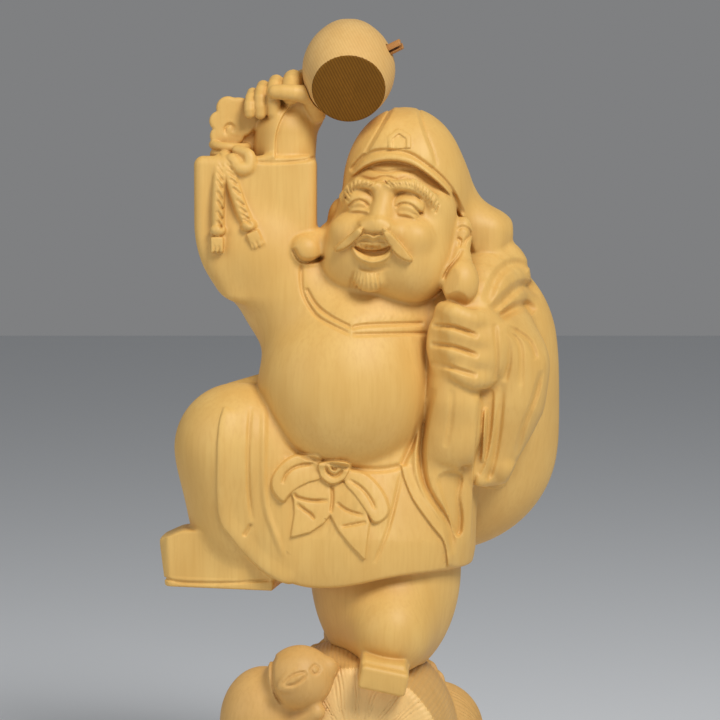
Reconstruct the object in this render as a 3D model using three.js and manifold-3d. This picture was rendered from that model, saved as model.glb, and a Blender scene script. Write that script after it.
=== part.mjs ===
// A carved wooden figure of a laughing lucky god, dancing on one foot on two rice bales.
// It lifts a mallet over its head and holds a sack on its back; a mouse climbs up to its foot.
// Four pieces: the figure, the base with its bales and mouse, and the mallet's head and handle.
// The carving is a distance field, meshed by marching tetrahedra and then thinned by edge collapse.
// Millimetres, +Z up, +X to the viewer's right, +Y away from the viewer.

import * as THREE from "three";
import { mergeVertices } from "three/addons/utils/BufferGeometryUtils.js";
import Module from "manifold-3d";

// Driving dimensions, in millimetres

const FIGURE_HEIGHT = 204; // from the sole of the standing foot to the crown of the cap
const BALE_RADIUS = 35; // the front bale's, at its middle
const BALE_END_RADIUS = 30.8;
const FRONT_BALE_LENGTH = 66;
const FRONT_BALE_EDGE = 3.2; // rounding of its ends
const CROSS_BALE_RADIUS = 26; // the bale that lies crosswise behind
const CROSS_BALE_END_RADIUS = 24.5;
const CROSS_BALE_LENGTH = 92;
const CROSS_BALE_EDGE = 16;
const BALE_DOME = 1.8; // how far the ends of a bale bulge
const BALE_SINK = 1; // how deep the bales lie in the ground
const ROPE_RADIUS = 1.5;
const KNOT_RADIUS = 7; // of the front bale's rope
const SLAB_HEIGHT = 7; // the low slab of ground under the bales
const SLAB_LENGTH = 118;
const SLAB_WIDTH = 102;
const SLAB_EASE = 1; // of the ground's edges
const MALLET_RADIUS = 16; // at the middle of the barrel
const MALLET_END_RADIUS = 12.6;
const MALLET_LENGTH = 30;
const HANDLE_RADIUS = 1.9;
const HANDLE_PROUD = 4.6; // how far the handle stands out of the barrel
const HANDLE_GRIP = 11.5; // how deep the handle goes into the fist
const HANDLE_KERF = 0.9;
const GAP = 0.3; // clearance between two pieces that touch
const MESH_CELL = 1.6; // cell of the grid that samples the field
const FIGURE_TRIANGLES = 6650;
const MOUSE_TRIANGLES = 560;

// The figure's proportions are hundredths of its height
const MODULE = FIGURE_HEIGHT / 100;

const wasm = await Module();
wasm.setup();

// Distance fields: a shape has a distance function of x, y, z and a box that holds it

const radians = (degrees) => (degrees * Math.PI) / 180;
const clamp = (value, low, high) => Math.min(high, Math.max(low, value));
const mix = (a, b, t) => a + (b - a) * t;

function boxDistance({ low, high }, x, y, z) {
  const dx = Math.max(low[0] - x, 0, x - high[0]);
  const dy = Math.max(low[1] - y, 0, y - high[1]);
  const dz = Math.max(low[2] - z, 0, z - high[2]);
  return Math.sqrt(dx * dx + dy * dy + dz * dz);
}

// Rotation about X, then Y, then Z, in degrees
function turning([ax, ay, az]) {
  const euler = new THREE.Euler(radians(ax), radians(ay), radians(az), "ZYX");
  return new THREE.Matrix4().makeRotationFromEuler(euler);
}

// A shape made around its own origin, turned and moved into place
function place(shape, [px, py, pz], turn = [0, 0, 0]) {
  const matrix = turning(turn).setPosition(px, py, pz);
  const box = new THREE.Box3(new THREE.Vector3(...shape.low), new THREE.Vector3(...shape.high));
  box.applyMatrix4(matrix);
  const e = matrix.elements;
  const distance = (x, y, z) => {
    const dx = x - px;
    const dy = y - py;
    const dz = z - pz;
    return shape.distance(
      dx * e[0] + dy * e[1] + dz * e[2],
      dx * e[4] + dy * e[5] + dz * e[6],
      dx * e[8] + dy * e[9] + dz * e[10],
    );
  };
  return { distance, low: box.min.toArray(), high: box.max.toArray() };
}

function egg(centre, [rx, ry, rz], turn) {
  const distance = (x, y, z) => {
    const near = Math.hypot(x / rx, y / ry, z / rz);
    const slope = Math.hypot(x / (rx * rx), y / (ry * ry), z / (rz * rz));
    return slope < 1e-6 ? -Math.min(rx, ry, rz) : (near * (near - 1)) / slope;
  };
  return place({ distance, low: [-rx, -ry, -rz], high: [rx, ry, rz] }, centre, turn);
}

function slab(centre, [hx, hy, hz], round, turn) {
  const distance = (x, y, z) => {
    const qx = Math.abs(x) - hx + round;
    const qy = Math.abs(y) - hy + round;
    const qz = Math.abs(z) - hz + round;
    const outside = Math.hypot(Math.max(qx, 0), Math.max(qy, 0), Math.max(qz, 0));
    return outside + Math.min(Math.max(qx, qy, qz), 0) - round;
  };
  return place({ distance, low: [-hx, -hy, -hz], high: [hx, hy, hz] }, centre, turn);
}

// A tapering rod with round ends
function limb(a, ra, b, rb) {
  const [ax, ay, az] = a;
  const [ux, uy, uz] = b.map((v, i) => v - a[i]);
  const length2 = ux * ux + uy * uy + uz * uz;
  const distance = (x, y, z) => {
    const dx = x - ax;
    const dy = y - ay;
    const dz = z - az;
    const t = clamp((dx * ux + dy * uy + dz * uz) / length2, 0, 1);
    return Math.hypot(dx - t * ux, dy - t * uy, dz - t * uz) - mix(ra, rb, t);
  };
  const low = a.map((v, i) => Math.min(v - ra, b[i] - rb));
  const high = a.map((v, i) => Math.max(v + ra, b[i] + rb));
  return { distance, low, high };
}

// A coin stands in the XZ plane
function coin(centre, radius, half, round = half) {
  const distance = (x, y, z) => {
    const across = Math.hypot(x, z) - radius + round;
    const along = Math.abs(y) - half + round;
    const outside = Math.hypot(Math.max(across, 0), Math.max(along, 0));
    return outside + Math.min(Math.max(across, along), 0) - round;
  };
  const reach = [radius, half, radius];
  return place({ distance, low: reach.map((v) => -v), high: reach }, centre);
}

// A ring lies in the XY plane; its two radii differ
function ring(centre, [rx, ry], radius, turn) {
  const distance = (x, y, z) => {
    const near = Math.hypot(x / rx, y / ry);
    const slope = Math.hypot(x / (rx * rx), y / (ry * ry));
    return Math.hypot(slope < 1e-6 ? rx : (near * (near - 1)) / slope, z) - radius;
  };
  const reach = [rx + radius, ry + radius, radius];
  return place({ distance, low: reach.map((v) => -v), high: reach }, centre, turn);
}

const reachOf = (shapes) => ({
  low: [0, 1, 2].map((i) => Math.min(...shapes.map((s) => s.low[i]))),
  high: [0, 1, 2].map((i) => Math.max(...shapes.map((s) => s.high[i]))),
});

// Shapes joined with fillets of about k
function blend(k, ...shapes) {
  const distance = (x, y, z) => {
    let d = Infinity;
    for (const s of shapes) {
      if (boxDistance(s, x, y, z) > d + k) continue;
      const e = s.distance(x, y, z);
      const h = Math.max(k - Math.abs(d - e), 0);
      d = Math.min(d, e) - (h * h) / (4 * k);
    }
    return d;
  };
  return { distance, ...reachOf(shapes) };
}

// A base with tools cut out of it, the edges eased by about k
function carve(k, base, ...tools) {
  const distance = (x, y, z) => {
    let d = base.distance(x, y, z);
    for (const s of tools) {
      if (boxDistance(s, x, y, z) > k - d) continue;
      const e = -s.distance(x, y, z);
      const h = Math.max(k - Math.abs(d - e), 0);
      d = Math.max(d, e) + (h * h) / (4 * k);
    }
    return d;
  };
  return { distance, low: base.low, high: base.high };
}

// The base where it lies inside a limit, given as a signed height function
function trim(k, base, limit) {
  const distance = (x, y, z) => {
    const d = base.distance(x, y, z);
    const e = limit(x, y, z);
    const h = Math.max(k - Math.abs(d - e), 0);
    return Math.max(d, e) + (h * h) / (4 * k);
  };
  return { distance, low: base.low, high: base.high };
}

// Points joined by a smooth curve, as rods of changing radius
function strand(points, radii, steps = 4) {
  const curve = new THREE.CatmullRomCurve3(points.map((p) => new THREE.Vector3(...p)));
  const count = steps * (points.length - 1);
  const at = (i) => curve.getPoint(i / count).toArray();
  const radius = (i) => {
    const t = (i / count) * (radii.length - 1);
    const k = Math.min(Math.floor(t), radii.length - 2);
    return mix(radii[k], radii[k + 1], t - k);
  };
  const rods = [];
  for (let i = 0; i < count; i++) rods.push(limb(at(i), radius(i), at(i + 1), radius(i + 1)));
  return blend(0.1, ...rods);
}

// Meshing: marching tetrahedra on the cells near the surface, found by halving boxes

const CORNERS = [0, 1, 2, 3, 4, 5, 6, 7].map((i) => [i & 1, (i >> 1) & 1, (i >> 2) & 1]);
// Six tetrahedra fill a cell: each goes from its first corner to its last along the axes in turn
const AXES = [0, 1, 2];
const TETRAHEDRA = AXES.flatMap((first) =>
  AXES.filter((axis) => axis !== first).map((second) => [0, 1 << first, (1 << first) | (1 << second), 7]),
);

function surfaceOf(shape, cell) {
  const margin = 2 * cell;
  const origin = shape.low.map((v) => v - margin);
  const reach = Math.max(...shape.high.map((v, i) => v + margin - origin[i]));
  const size = 2 ** Math.ceil(Math.log2(reach / cell));
  const stride = size + 1;
  const coordinate = (i, axis) => origin[axis] + i * cell;
  const values = new Map();
  const marched = new Set();
  const crossings = new Map();
  const positions = [];
  const triangles = [];

  const keyOf = (i, j, k) => (k * stride + j) * stride + i;
  function valueAt(i, j, k) {
    const key = keyOf(i, j, k);
    let value = values.get(key);
    if (value === undefined) {
      value = shape.distance(coordinate(i, 0), coordinate(j, 1), coordinate(k, 2)) || 1e-6;
      values.set(key, value);
    }
    return value;
  }
  function crossing(a, b) {
    const [first, second] = a.key < b.key ? [a, b] : [b, a];
    const key = first.key * 8 + directionOf(first, second);
    let index = crossings.get(key);
    if (index === undefined) {
      const t = clamp(first.value / (first.value - second.value), 0.04, 0.96);
      index = positions.length / 3;
      for (let axis = 0; axis < 3; axis++) {
        positions.push(coordinate(mix(first.at[axis], second.at[axis], t), axis));
      }
      crossings.set(key, index);
    }
    return index;
  }
  // An edge of a tetrahedron runs in one of seven directions, with steps of 0 or 1
  const directionOf = (a, b) =>
    b.at[0] - a.at[0] + 2 * (b.at[1] - a.at[1]) + 4 * (b.at[2] - a.at[2]);

  function march(i, j, k) {
    const corner = CORNERS.map(([a, b, c]) => {
      const at = [i + a, j + b, k + c];
      return { at, key: keyOf(...at), value: valueAt(...at) };
    });
    for (const tetrahedron of TETRAHEDRA) {
      const inside = tetrahedron.filter((c) => corner[c].value < 0).map((c) => corner[c]);
      const outside = tetrahedron.filter((c) => corner[c].value >= 0).map((c) => corner[c]);
      if (!inside.length || !outside.length) continue;
      const faces = [];
      if (inside.length === 2) {
        const [a, b] = inside;
        const [c, d] = outside;
        faces.push([crossing(a, c), crossing(a, d), crossing(b, d)]);
        faces.push([crossing(a, c), crossing(b, d), crossing(b, c)]);
      } else {
        const [one, others] = inside.length === 1 ? [inside[0], outside] : [outside[0], inside];
        faces.push(others.map((other) => crossing(one, other)));
      }
      for (const face of faces) triangles.push(...outward(face, inside, outside));
    }
  }
  // The face's corners, in the order that makes it face from the inside to the outside
  function outward(face, inside, outside) {
    const [a, b, c] = face.map((v) => new THREE.Vector3(...positions.slice(3 * v, 3 * v + 3)));
    const normal = b.clone().sub(a).cross(c.sub(a));
    const away = outside[0].at.map((v, axis) => v - inside[0].at[axis]);
    return normal.dot(new THREE.Vector3(...away)) > 0 ? face : [face[0], face[2], face[1]];
  }
  // Cells are followed from neighbour to neighbour, so that the surface closes
  function follow(i, j, k) {
    const waiting = [[i, j, k]];
    while (waiting.length) {
      const cell = waiting.pop();
      const key = keyOf(...cell);
      if (marched.has(key)) continue;
      marched.add(key);
      const inside = CORNERS.map((c) => valueAt(...c.map((v, axis) => v + cell[axis])) < 0);
      if (inside.every((v) => v === inside[0])) continue;
      march(...cell);
      for (let axis = 0; axis < 3; axis++) {
        for (const side of [0, 1]) {
          const face = inside.filter((v, corner) => CORNERS[corner][axis] === side);
          if (face.every((v) => v === face[0])) continue;
          waiting.push(cell.map((v, other) => (other === axis ? v + 2 * side - 1 : v)));
        }
      }
    }
  }
  function search(i, j, k, width) {
    const half = width / 2;
    const centre = [i + half, j + half, k + half].map(coordinate);
    if (Math.abs(shape.distance(...centre)) > half * cell * 2.2 + 0.3 * cell) return;
    if (width === 1) {
      follow(i, j, k);
      return;
    }
    for (const [a, b, c] of CORNERS) search(i + a * half, j + b * half, k + c * half, half);
  }
  search(0, 0, 0, size);
  return { positions, triangles };
}

// Thinning: the cheapest edges collapse first, by their quadric error, while the surface stays closed

const HOLD = 2e-3; // pull of a collapsed edge towards its own middle
const SLIVER_COST = 2e-4; // makes long edges dearer
const MOST_TURN = 0.35; // cosine of the most that a face may turn
const LEAST_WIDTH = 0.06; // of a face, as a share of its longest side

function thinned({ positions, triangles }, wanted, careOf = () => 1) {
  const at = Float64Array.from(positions);
  const corners = Int32Array.from(triangles);
  const quadrics = new Float64Array((10 * at.length) / 3);
  const version = new Int32Array(at.length / 3);
  const marks = new Int32Array(at.length / 3);
  const facesAt = Array.from({ length: at.length / 3 }, () => []);
  const gone = new Uint8Array(corners.length / 3);
  const cross = [0, 0, 0];
  let left = gone.length;
  let round = 0;

  // The normal at a point p that makes a triangle with corners b and c, twice its area long
  function crossAt(px, py, pz, b, c) {
    const ux = at[3 * b] - px;
    const uy = at[3 * b + 1] - py;
    const uz = at[3 * b + 2] - pz;
    const vx = at[3 * c] - px;
    const vy = at[3 * c + 1] - py;
    const vz = at[3 * c + 2] - pz;
    cross[0] = uy * vz - uz * vy;
    cross[1] = uz * vx - ux * vz;
    cross[2] = ux * vy - uy * vx;
    return Math.max(lengthSquared(ux, uy, uz), lengthSquared(vx, vy, vz));
  }
  const lengthSquared = (x, y, z) => x * x + y * y + z * z;

  for (let face = 0; face < gone.length; face++) {
    const a = corners[3 * face];
    crossAt(at[3 * a], at[3 * a + 1], at[3 * a + 2], corners[3 * face + 1], corners[3 * face + 2]);
    const area = Math.sqrt(lengthSquared(...cross)) || 1e-12;
    const [x, y, z] = cross.map((v) => v / area);
    const w = -(x * at[3 * a] + y * at[3 * a + 1] + z * at[3 * a + 2]);
    const weight = area * careOf(at[3 * a], at[3 * a + 1], at[3 * a + 2]);
    const plane = [x * x, x * y, x * z, x * w, y * y, y * z, y * w, z * z, z * w, w * w];
    for (let n = 0; n < 3; n++) {
      const corner = corners[3 * face + n];
      facesAt[corner].push(face);
      for (let i = 0; i < 10; i++) quadrics[10 * corner + i] += weight * plane[i];
    }
  }

  // The best place for a collapsed edge, held a little towards the edge's middle
  function collapseOf(u, v) {
    const q = (i) => quadrics[10 * u + i] + quadrics[10 * v + i];
    const hold = HOLD * (q(0) + q(4) + q(7)) + 1e-9;
    const a = q(0) + hold;
    const b = q(1);
    const c = q(2);
    const e = q(4) + hold;
    const f = q(5);
    const h = q(7) + hold;
    const r = (hold * (at[3 * u] + at[3 * v])) / 2 - q(3);
    const s = (hold * (at[3 * u + 1] + at[3 * v + 1])) / 2 - q(6);
    const t = (hold * (at[3 * u + 2] + at[3 * v + 2])) / 2 - q(8);
    const m0 = e * h - f * f;
    const m1 = c * f - b * h;
    const m2 = b * f - c * e;
    const whole = a * m0 + b * m1 + c * m2;
    const x = (m0 * r + m1 * s + m2 * t) / whole;
    const y = (m1 * r + (a * h - c * c) * s + (b * c - a * f) * t) / whole;
    const z = (m2 * r + (b * c - a * f) * s + (a * e - b * b) * t) / whole;
    const flat = q(0) * x * x + q(4) * y * y + q(7) * z * z + q(9);
    const mixed = b * x * y + c * x * z + f * y * z + q(3) * x + q(6) * y + q(8) * z;
    const [i, j] = [3 * u, 3 * v];
    const span = lengthSquared(at[i] - at[j], at[i + 1] - at[j + 1], at[i + 2] - at[j + 2]);
    const cost = Math.max(flat + 2 * mixed, 0) + SLIVER_COST * span * span;
    return { cost, u, v, x, y, z, stamp: version[u] + version[v] };
  }

  // A heap with the cheapest collapse first
  const heap = [];
  function push(entry) {
    let i = heap.push(entry) - 1;
    while (i > 0) {
      const parent = (i - 1) >> 1;
      if (heap[parent].cost <= entry.cost) break;
      heap[i] = heap[parent];
      i = parent;
    }
    heap[i] = entry;
  }
  function pop() {
    const top = heap[0];
    const last = heap.pop();
    let i = 0;
    while (2 * i + 1 < heap.length) {
      let child = 2 * i + 1;
      if (child + 1 < heap.length && heap[child + 1].cost < heap[child].cost) child++;
      if (heap[child].cost >= last.cost) break;
      heap[i] = heap[child];
      i = child;
    }
    if (heap.length) heap[i] = last;
    return top;
  }
  function neighboursOf(vertex) {
    round++;
    const found = [];
    for (const face of facesAt[vertex]) {
      for (let n = 0; n < 3; n++) {
        const corner = corners[3 * face + n];
        if (corner !== vertex && marks[corner] !== round) found.push(corner);
        marks[corner] = round;
      }
    }
    return found;
  }
  // No face at a vertex turns over or goes thin when the vertex moves
  function movable(vertex, other, { x, y, z }) {
    const [px, py, pz] = [at[3 * vertex], at[3 * vertex + 1], at[3 * vertex + 2]];
    for (const face of facesAt[vertex]) {
      const n = corners[3 * face] === vertex ? 0 : corners[3 * face + 1] === vertex ? 1 : 2;
      const b = corners[3 * face + ((n + 1) % 3)];
      const c = corners[3 * face + ((n + 2) % 3)];
      if (b === other || c === other) continue;
      crossAt(px, py, pz, b, c);
      const [ox, oy, oz] = cross;
      const longest = crossAt(x, y, z, b, c);
      const area = Math.sqrt(lengthSquared(...cross));
      const agreement = ox * cross[0] + oy * cross[1] + oz * cross[2];
      if (agreement < MOST_TURN * area * Math.sqrt(lengthSquared(ox, oy, oz))) return false;
      if (area < LEAST_WIDTH * longest) return false;
    }
    return true;
  }
  // An edge collapses only where just two faces meet on it, so the surface stays whole
  function allowed(entry) {
    const { u, v } = entry;
    const around = neighboursOf(u);
    neighboursOf(v);
    let shared = 0;
    for (const vertex of around) if (marks[vertex] === round && vertex !== v) shared++;
    return shared === 2 && movable(u, v, entry) && movable(v, u, entry);
  }

  for (let u = 0; u < facesAt.length; u++) {
    for (const v of neighboursOf(u)) if (v > u) push(collapseOf(u, v));
  }
  while (left > wanted && heap.length) {
    const entry = pop();
    const { u, v } = entry;
    const dead = !facesAt[u].length || !facesAt[v].length;
    if (dead || entry.stamp !== version[u] + version[v] || !allowed(entry)) continue;
    for (const face of facesAt[v]) {
      const n = [0, 1, 2].find((i) => corners[3 * face + i] === v);
      if (facesAt[u].includes(face)) {
        gone[face] = 1;
        left--;
        const third = [0, 1, 2].map((i) => corners[3 * face + i]).find((c) => c !== u && c !== v);
        facesAt[third] = facesAt[third].filter((other) => other !== face);
      } else {
        corners[3 * face + n] = u;
        facesAt[u].push(face);
      }
    }
    facesAt[u] = facesAt[u].filter((face) => !gone[face]);
    facesAt[v] = [];
    for (let i = 0; i < 10; i++) quadrics[10 * u + i] += quadrics[10 * v + i];
    at[3 * u] = entry.x;
    at[3 * u + 1] = entry.y;
    at[3 * u + 2] = entry.z;
    version[u] += 1 + version[v];
    for (const neighbour of neighboursOf(u)) push(collapseOf(u, neighbour));
  }

  const kept = [];
  for (let face = 0; face < gone.length; face++) {
    if (!gone[face]) kept.push(corners[3 * face], corners[3 * face + 1], corners[3 * face + 2]);
  }
  return geometryOf(at, kept);
}

// A geometry of the vertices that the faces use
function geometryOf(at, faces, scale = MODULE) {
  const renumbered = new Map();
  const positions = [];
  const index = faces.map((vertex) => {
    if (!renumbered.has(vertex)) {
      renumbered.set(vertex, renumbered.size);
      for (let i = 0; i < 3; i++) positions.push(at[3 * vertex + i] * scale);
    }
    return renumbered.get(vertex);
  });
  const geometry = new THREE.BufferGeometry();
  geometry.setAttribute("position", new THREE.Float32BufferAttribute(positions, 3));
  return geometry.setIndex(index);
}

// The lines of the carving are drawn as seen by an eye in front of the figure, a little above it

const EYE_AIM = [1.7, 0, 56.6];
const EYE_DISTANCE = 465;
const EYE_SLOPE = radians(4);
const EYE = [
  EYE_AIM[0],
  EYE_AIM[1] - EYE_DISTANCE * Math.cos(EYE_SLOPE),
  EYE_AIM[2] + EYE_DISTANCE * Math.sin(EYE_SLOPE),
];

// Where the eye sees a point, as [x, z] on the plane through the figure's middle
function seen(x, y, z) {
  const dx = x - EYE[0];
  const dy = y - EYE[1];
  const dz = z - EYE[2];
  const depth = dy * Math.cos(EYE_SLOPE) - dz * Math.sin(EYE_SLOPE);
  const rise = dy * Math.sin(EYE_SLOPE) + dz * Math.cos(EYE_SLOPE);
  return [EYE_AIM[0] + (dx * EYE_DISTANCE) / depth, EYE_AIM[2] + (rise * EYE_DISTANCE) / depth];
}

// Lines cut into the front of a shape, or raised where the depth is negative; a filled one is a patch
function drawn(base, lines) {
  const strokes = lines.map(({ points, width, depth, back = 0, filled = false }) => {
    const curve = new THREE.SplineCurve(points.map((p) => new THREE.Vector2(...p)));
    const path = filled ? [...points, points[0]].map((p) => new THREE.Vector2(...p)) : curve.getPoints(24);
    const low = [0, 1].map((i) => Math.min(...points.map((p) => p[i])) - 1.2 * width);
    const high = [0, 1].map((i) => Math.max(...points.map((p) => p[i])) + 1.2 * width);
    return { path, width, depth, back, filled, low, high };
  });
  const distance = (x, y, z) => {
    const d = base.distance(x, y, z);
    if (Math.abs(d) > 3) return d;
    const [u, v] = seen(x, y, z);
    let change = 0;
    for (const { path, width, depth, back, filled, low, high } of strokes) {
      if (u < low[0] || u > high[0] || v < low[1] || v > high[1] || y > back) continue;
      let near = Infinity;
      let within = false;
      for (let i = 1; i < path.length; i++) {
        const [a, b] = [path[i - 1], path[i]];
        const [ex, ey] = [b.x - a.x, b.y - a.y];
        const t = clamp(((u - a.x) * ex + (v - a.y) * ey) / (ex * ex + ey * ey), 0, 1);
        near = Math.min(near, Math.hypot(u - a.x - t * ex, v - a.y - t * ey));
        if (filled && a.y > v !== b.y > v && u < a.x + ((v - a.y) / ey) * ex) within = !within;
      }
      const side = within ? 1 : clamp(1 - near / width, 0, 1);
      const here = depth * side * side * (3 - 2 * side) * clamp((back - y) / 2, 0, 1);
      change = Math.abs(here) > Math.abs(change) ? here : change;
    }
    return d + change;
  };
  return { distance, low: base.low.map((v) => v - 1), high: base.high.map((v) => v + 1) };
}

// A shape flattened or drawn out along the axes through a centre
function stretched(shape, [cx, cy, cz], [sx, sy, sz]) {
  const least = Math.min(sx, sy, sz);
  const distance = (x, y, z) =>
    least * shape.distance(cx + (x - cx) / sx, cy + (y - cy) / sy, cz + (z - cz) / sz);
  const scale = [sx, sy, sz];
  const centre = [cx, cy, cz];
  const low = shape.low.map((v, i) => centre[i] + (v - centre[i]) * scale[i]);
  const high = shape.high.map((v, i) => centre[i] + (v - centre[i]) * scale[i]);
  return { distance, low, high };
}

// The figure, in modules: z is 0 a little under the standing foot

function head() {
  const skull = blend(
    3,
    egg([0, -2, -4.2], [10.8, 9.6, 8.8]),
    egg([0, 0.5, 3], [9.6, 10.2, 10.6]),
    egg([-4.8, -3.4, -6.8], [6.1, 5.8, 5.8]),
    egg([4.8, -3.4, -6.8], [6.1, 5.8, 5.8]),
    egg([8.2, -2.8, 1.8], [2.6, 3.8, 4.6]),
  );
  const brows = [
    [[-7.3, -7.2, 3.4], [-4.4, -9.7, 5.6], [-1.5, -10.4, 5.4]],
    [[1.1, -10.3, 5.8], [4.8, -9.8, 6], [7.6, -7.6, 4.4], [8.9, -4.6, 2]],
  ].map((points) => strand(points, [0.9, 1.2, 1, 0.8], 2));
  const cheeks = [-1, 1].map((s) => egg([s * 5.3, -8.4, -2.4], [3.4, 2.8, 2.8]));
  const eyes = [-1, 1].map((s) => egg([s * 4.1, -8.8, 2.7], [2.7, 1.9, 1.9]));
  const nose = blend(
    1,
    limb([0, -9.8, 3.4], 1.3, [0, -11.2, -1.2], 1.8),
    egg([-1.9, -11, -1.9], [1.5, 1.6, 1.2]),
    egg([1.9, -11, -1.9], [1.5, 1.6, 1.2]),
  );
  const mouth = egg([-0.4, -11.9, -5.3], [3, 1.5, 0.8]);
  const lip = strand([[-3.6, -9.9, -5.6], [-0.4, -10.9, -7], [2.9, -10.3, -5.4]], [0.6, 0.9, 0.6], 2);
  const beard = egg([-1, -8.8, -10], [2.8, 2.2, 2.3]);
  const ears = blend(
    0.9,
    egg([-9.9, 0, 0.2], [1.6, 2.8, 3.4]),
    egg([12.2, -1, -0.6], [1.7, 1.8, 3.2]),
    limb([-10.6, -2, -2.4], 1.6, [-12.9, -7, -6.2], 2.7),
    limb([12.2, -1.4, -2.4], 1.5, [13.2, -3.4, -6.6], 2.2),
    egg([13.6, -4.4, -8.8], [3.1, 3, 3.8]),
  );
  const face = blend(1.6, skull, ...brows, ...cheeks);
  const front = blend(1, blend(1.6, face, nose), ...eyes);
  const features = blend(0.9, carve(0.7, front, mouth), lip, beard);
  return blend(1.2, features, ears);
}

function cap() {
  // The band rises over the brow and drops behind the temples
  const band = (x, y) =>
    10.1 - 0.05 * (x - 1) ** 2 - 0.6 * Math.max(y + 2, 0) - 0.9 * Math.max(y - 2, 0);
  const crown = blend(
    4,
    egg([0.9, 1.5, 6.5], [10.6, 11, 14], [0, -7, 0]),
    egg([2, 7.5, 5], [9.6, 8.5, 9]),
    egg([6.4, 9.5, 1.6], [12.3, 6.4, 5.4]),
    slab([12, 8.5, -1], [5.6, 4.6, 4.4], 2.2),
  );
  return trim(0.5, crown, (x, y, z) => band(x, y) - z);
}

function headWithCap() {
  // It turns to its right, bends back and leans to its left
  const turnedHead = (shape) => place(shape, [0, 0, 0], [0, 0, -14]);
  const bent = (shape) => place(turnedHead(shape), [0, 0, 0], [-6, 0, 0]);
  const leaning = (shape) => place(bent(shape), [7.4, -3, 79.7], [0, 7, 0]);
  const drape = trim(0.5, leaning(cap()), (x, y, z) => 75.2 - z);
  return blend(0.5, leaning(head()), drape);
}

function torso() {
  return blend(
    6,
    egg([-0.8, -4.5, 52.3], [14.7, 13.5, 14.8]),
    egg([3.5, 0.5, 64], [13.8, 11, 11]),
    egg([-9, 1, 67], [9.5, 8.5, 8]),
    egg([20, 2, 65], [8.5, 8.5, 8]),
  );
}

function skirt() {
  const fall = blend(
    5,
    stretched(limb([3, 2.5, 44], 14, [2.4, -0.4, 25], 18.2), [3, 0, 34], [1, 0.86, 1]),
    egg([-11, -1.4, 36], [9.5, 9.4, 16]),
    egg([15.6, -1, 38], [6, 10, 18]),
    limb([-14.5, -4, 40], 9, [-10.5, -4.2, 24], 8.8),
  );
  // The hem is drawn up over both legs
  const hem = (x) => 19 + 2.8 / (1 + Math.exp((3 - x) / 3)) + 0.036 * Math.max(-5 - x, 0) ** 2;
  return trim(0.9, fall, (x, y, z) => hem(x) - z);
}

function standingLeg() {
  const leg = blend(4, egg([6.1, 0, 21], [13, 12.3, 19.6]), egg([7, -9, 11.6], [7.2, 9, 7.6]));
  const shoe = blend(
    0.8,
    slab([5.8, -10.8, 6], [4, 10.4, 2], 0.7, [7, 12, 0]),
    slab([5.7, -10.2, 7.4], [3.8, 9.2, 1.8], 0.7, [10, 9, 0]),
  );
  return blend(0.5, leg, shoe);
}

function raisedLeg() {
  const thigh = blend(
    5,
    egg([-19, -4, 42], [10.9, 10.5, 11]),
    egg([-17.2, -3, 31.4], [10.4, 10, 12]),
    limb([-12, -1, 40], 10, [2, 2, 36], 12),
  );
  // The shoe's toe is cut by slanting planes, and its top falls towards the toe
  const facets = (x, y, z) =>
    Math.max(
      -0.8 * (x + 29.6) - 0.6 * (y + 9.6),
      -0.99 * (x + 32.4) - 0.14 * (z - 26),
      0.9 * (z - 26.6) - 0.42 * (x + 32),
    );
  const shape = blend(
    0.3,
    slab([-22.4, -4.6, 23.6], [10.4, 4.6, 4.6], 0.6, [0, 1, -9]),
    slab([-22.4, -4.7, 19.3], [10.2, 4.6, 0.8], 0.3, [0, 1, -9]),
  );
  const shoe = trim(0.4, shape, facets);
  const hem = limb([-20.6, 1.5, 51.4], 1.2, [-13.6, -1, 53], 1.8);
  return blend(0.8, thigh, shoe, hem);
}

function raisedArm() {
  const sleeve = blend(
    3.5,
    slab([-16, 0, 79], [10.3, 6.9, 12.5], 2),
    egg([-16, 0, 75.8], [8.5, 8, 8]),
    limb([-13.8, 0, 73.8], 7.5, [-2, 0, 62], 9.6),
  );
  // Its lower corner is cut off along the arm
  const cornered = trim(3, sleeve, (x, y, z) => -0.84 * (x + 26.2) - 0.54 * (z - 74.6));
  const mouth = slab([-15.6, 0, 91.4], [8.6, 5.3, 3], 3);
  const forearm = limb([-12, 0, 82], 5.4, [-10.9, -0.5, 95.5], 5.3);
  return blend(0.7, carve(0.6, cornered, mouth), forearm);
}

function fist() {
  const palm = blend(
    2,
    egg([-10.2, 0.6, 99], [5.6, 4.6, 5.8]),
    egg([-7.4, 0.2, 101.6], [3.2, 4.2, 4.8]),
  );
  const fingers = [
    [-16.9, 102.7, 0.95, 98.6],
    [-15.1, 103.8, 1.1, 98.6],
    [-12.9, 104.6, 1.25, 98.8],
    [-10, 105, 1.7, 101.6],
  ].map(([x, top, r, tip]) =>
    strand(
      [
        [x + 0.9, 1.8, top - 2.2],
        [x + 0.4, -1.8, top - 0.6],
        [x, -4.6, top - 2.6],
        [x, -4.8, tip],
      ],
      [r, r, r, 0.9 * r],
      2,
    ),
  );
  const thumb = strand(
    [
      [-5.8, -2.2, 98.6],
      [-6.6, -5, 101.4],
      [-9.4, -6.5, 102],
      [-12.6, -6.4, 102.2],
    ],
    [1.7, 1.6, 1.5, 1.2],
    2,
  );
  return blend(0.6, palm, ...fingers, thumb);
}

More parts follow.
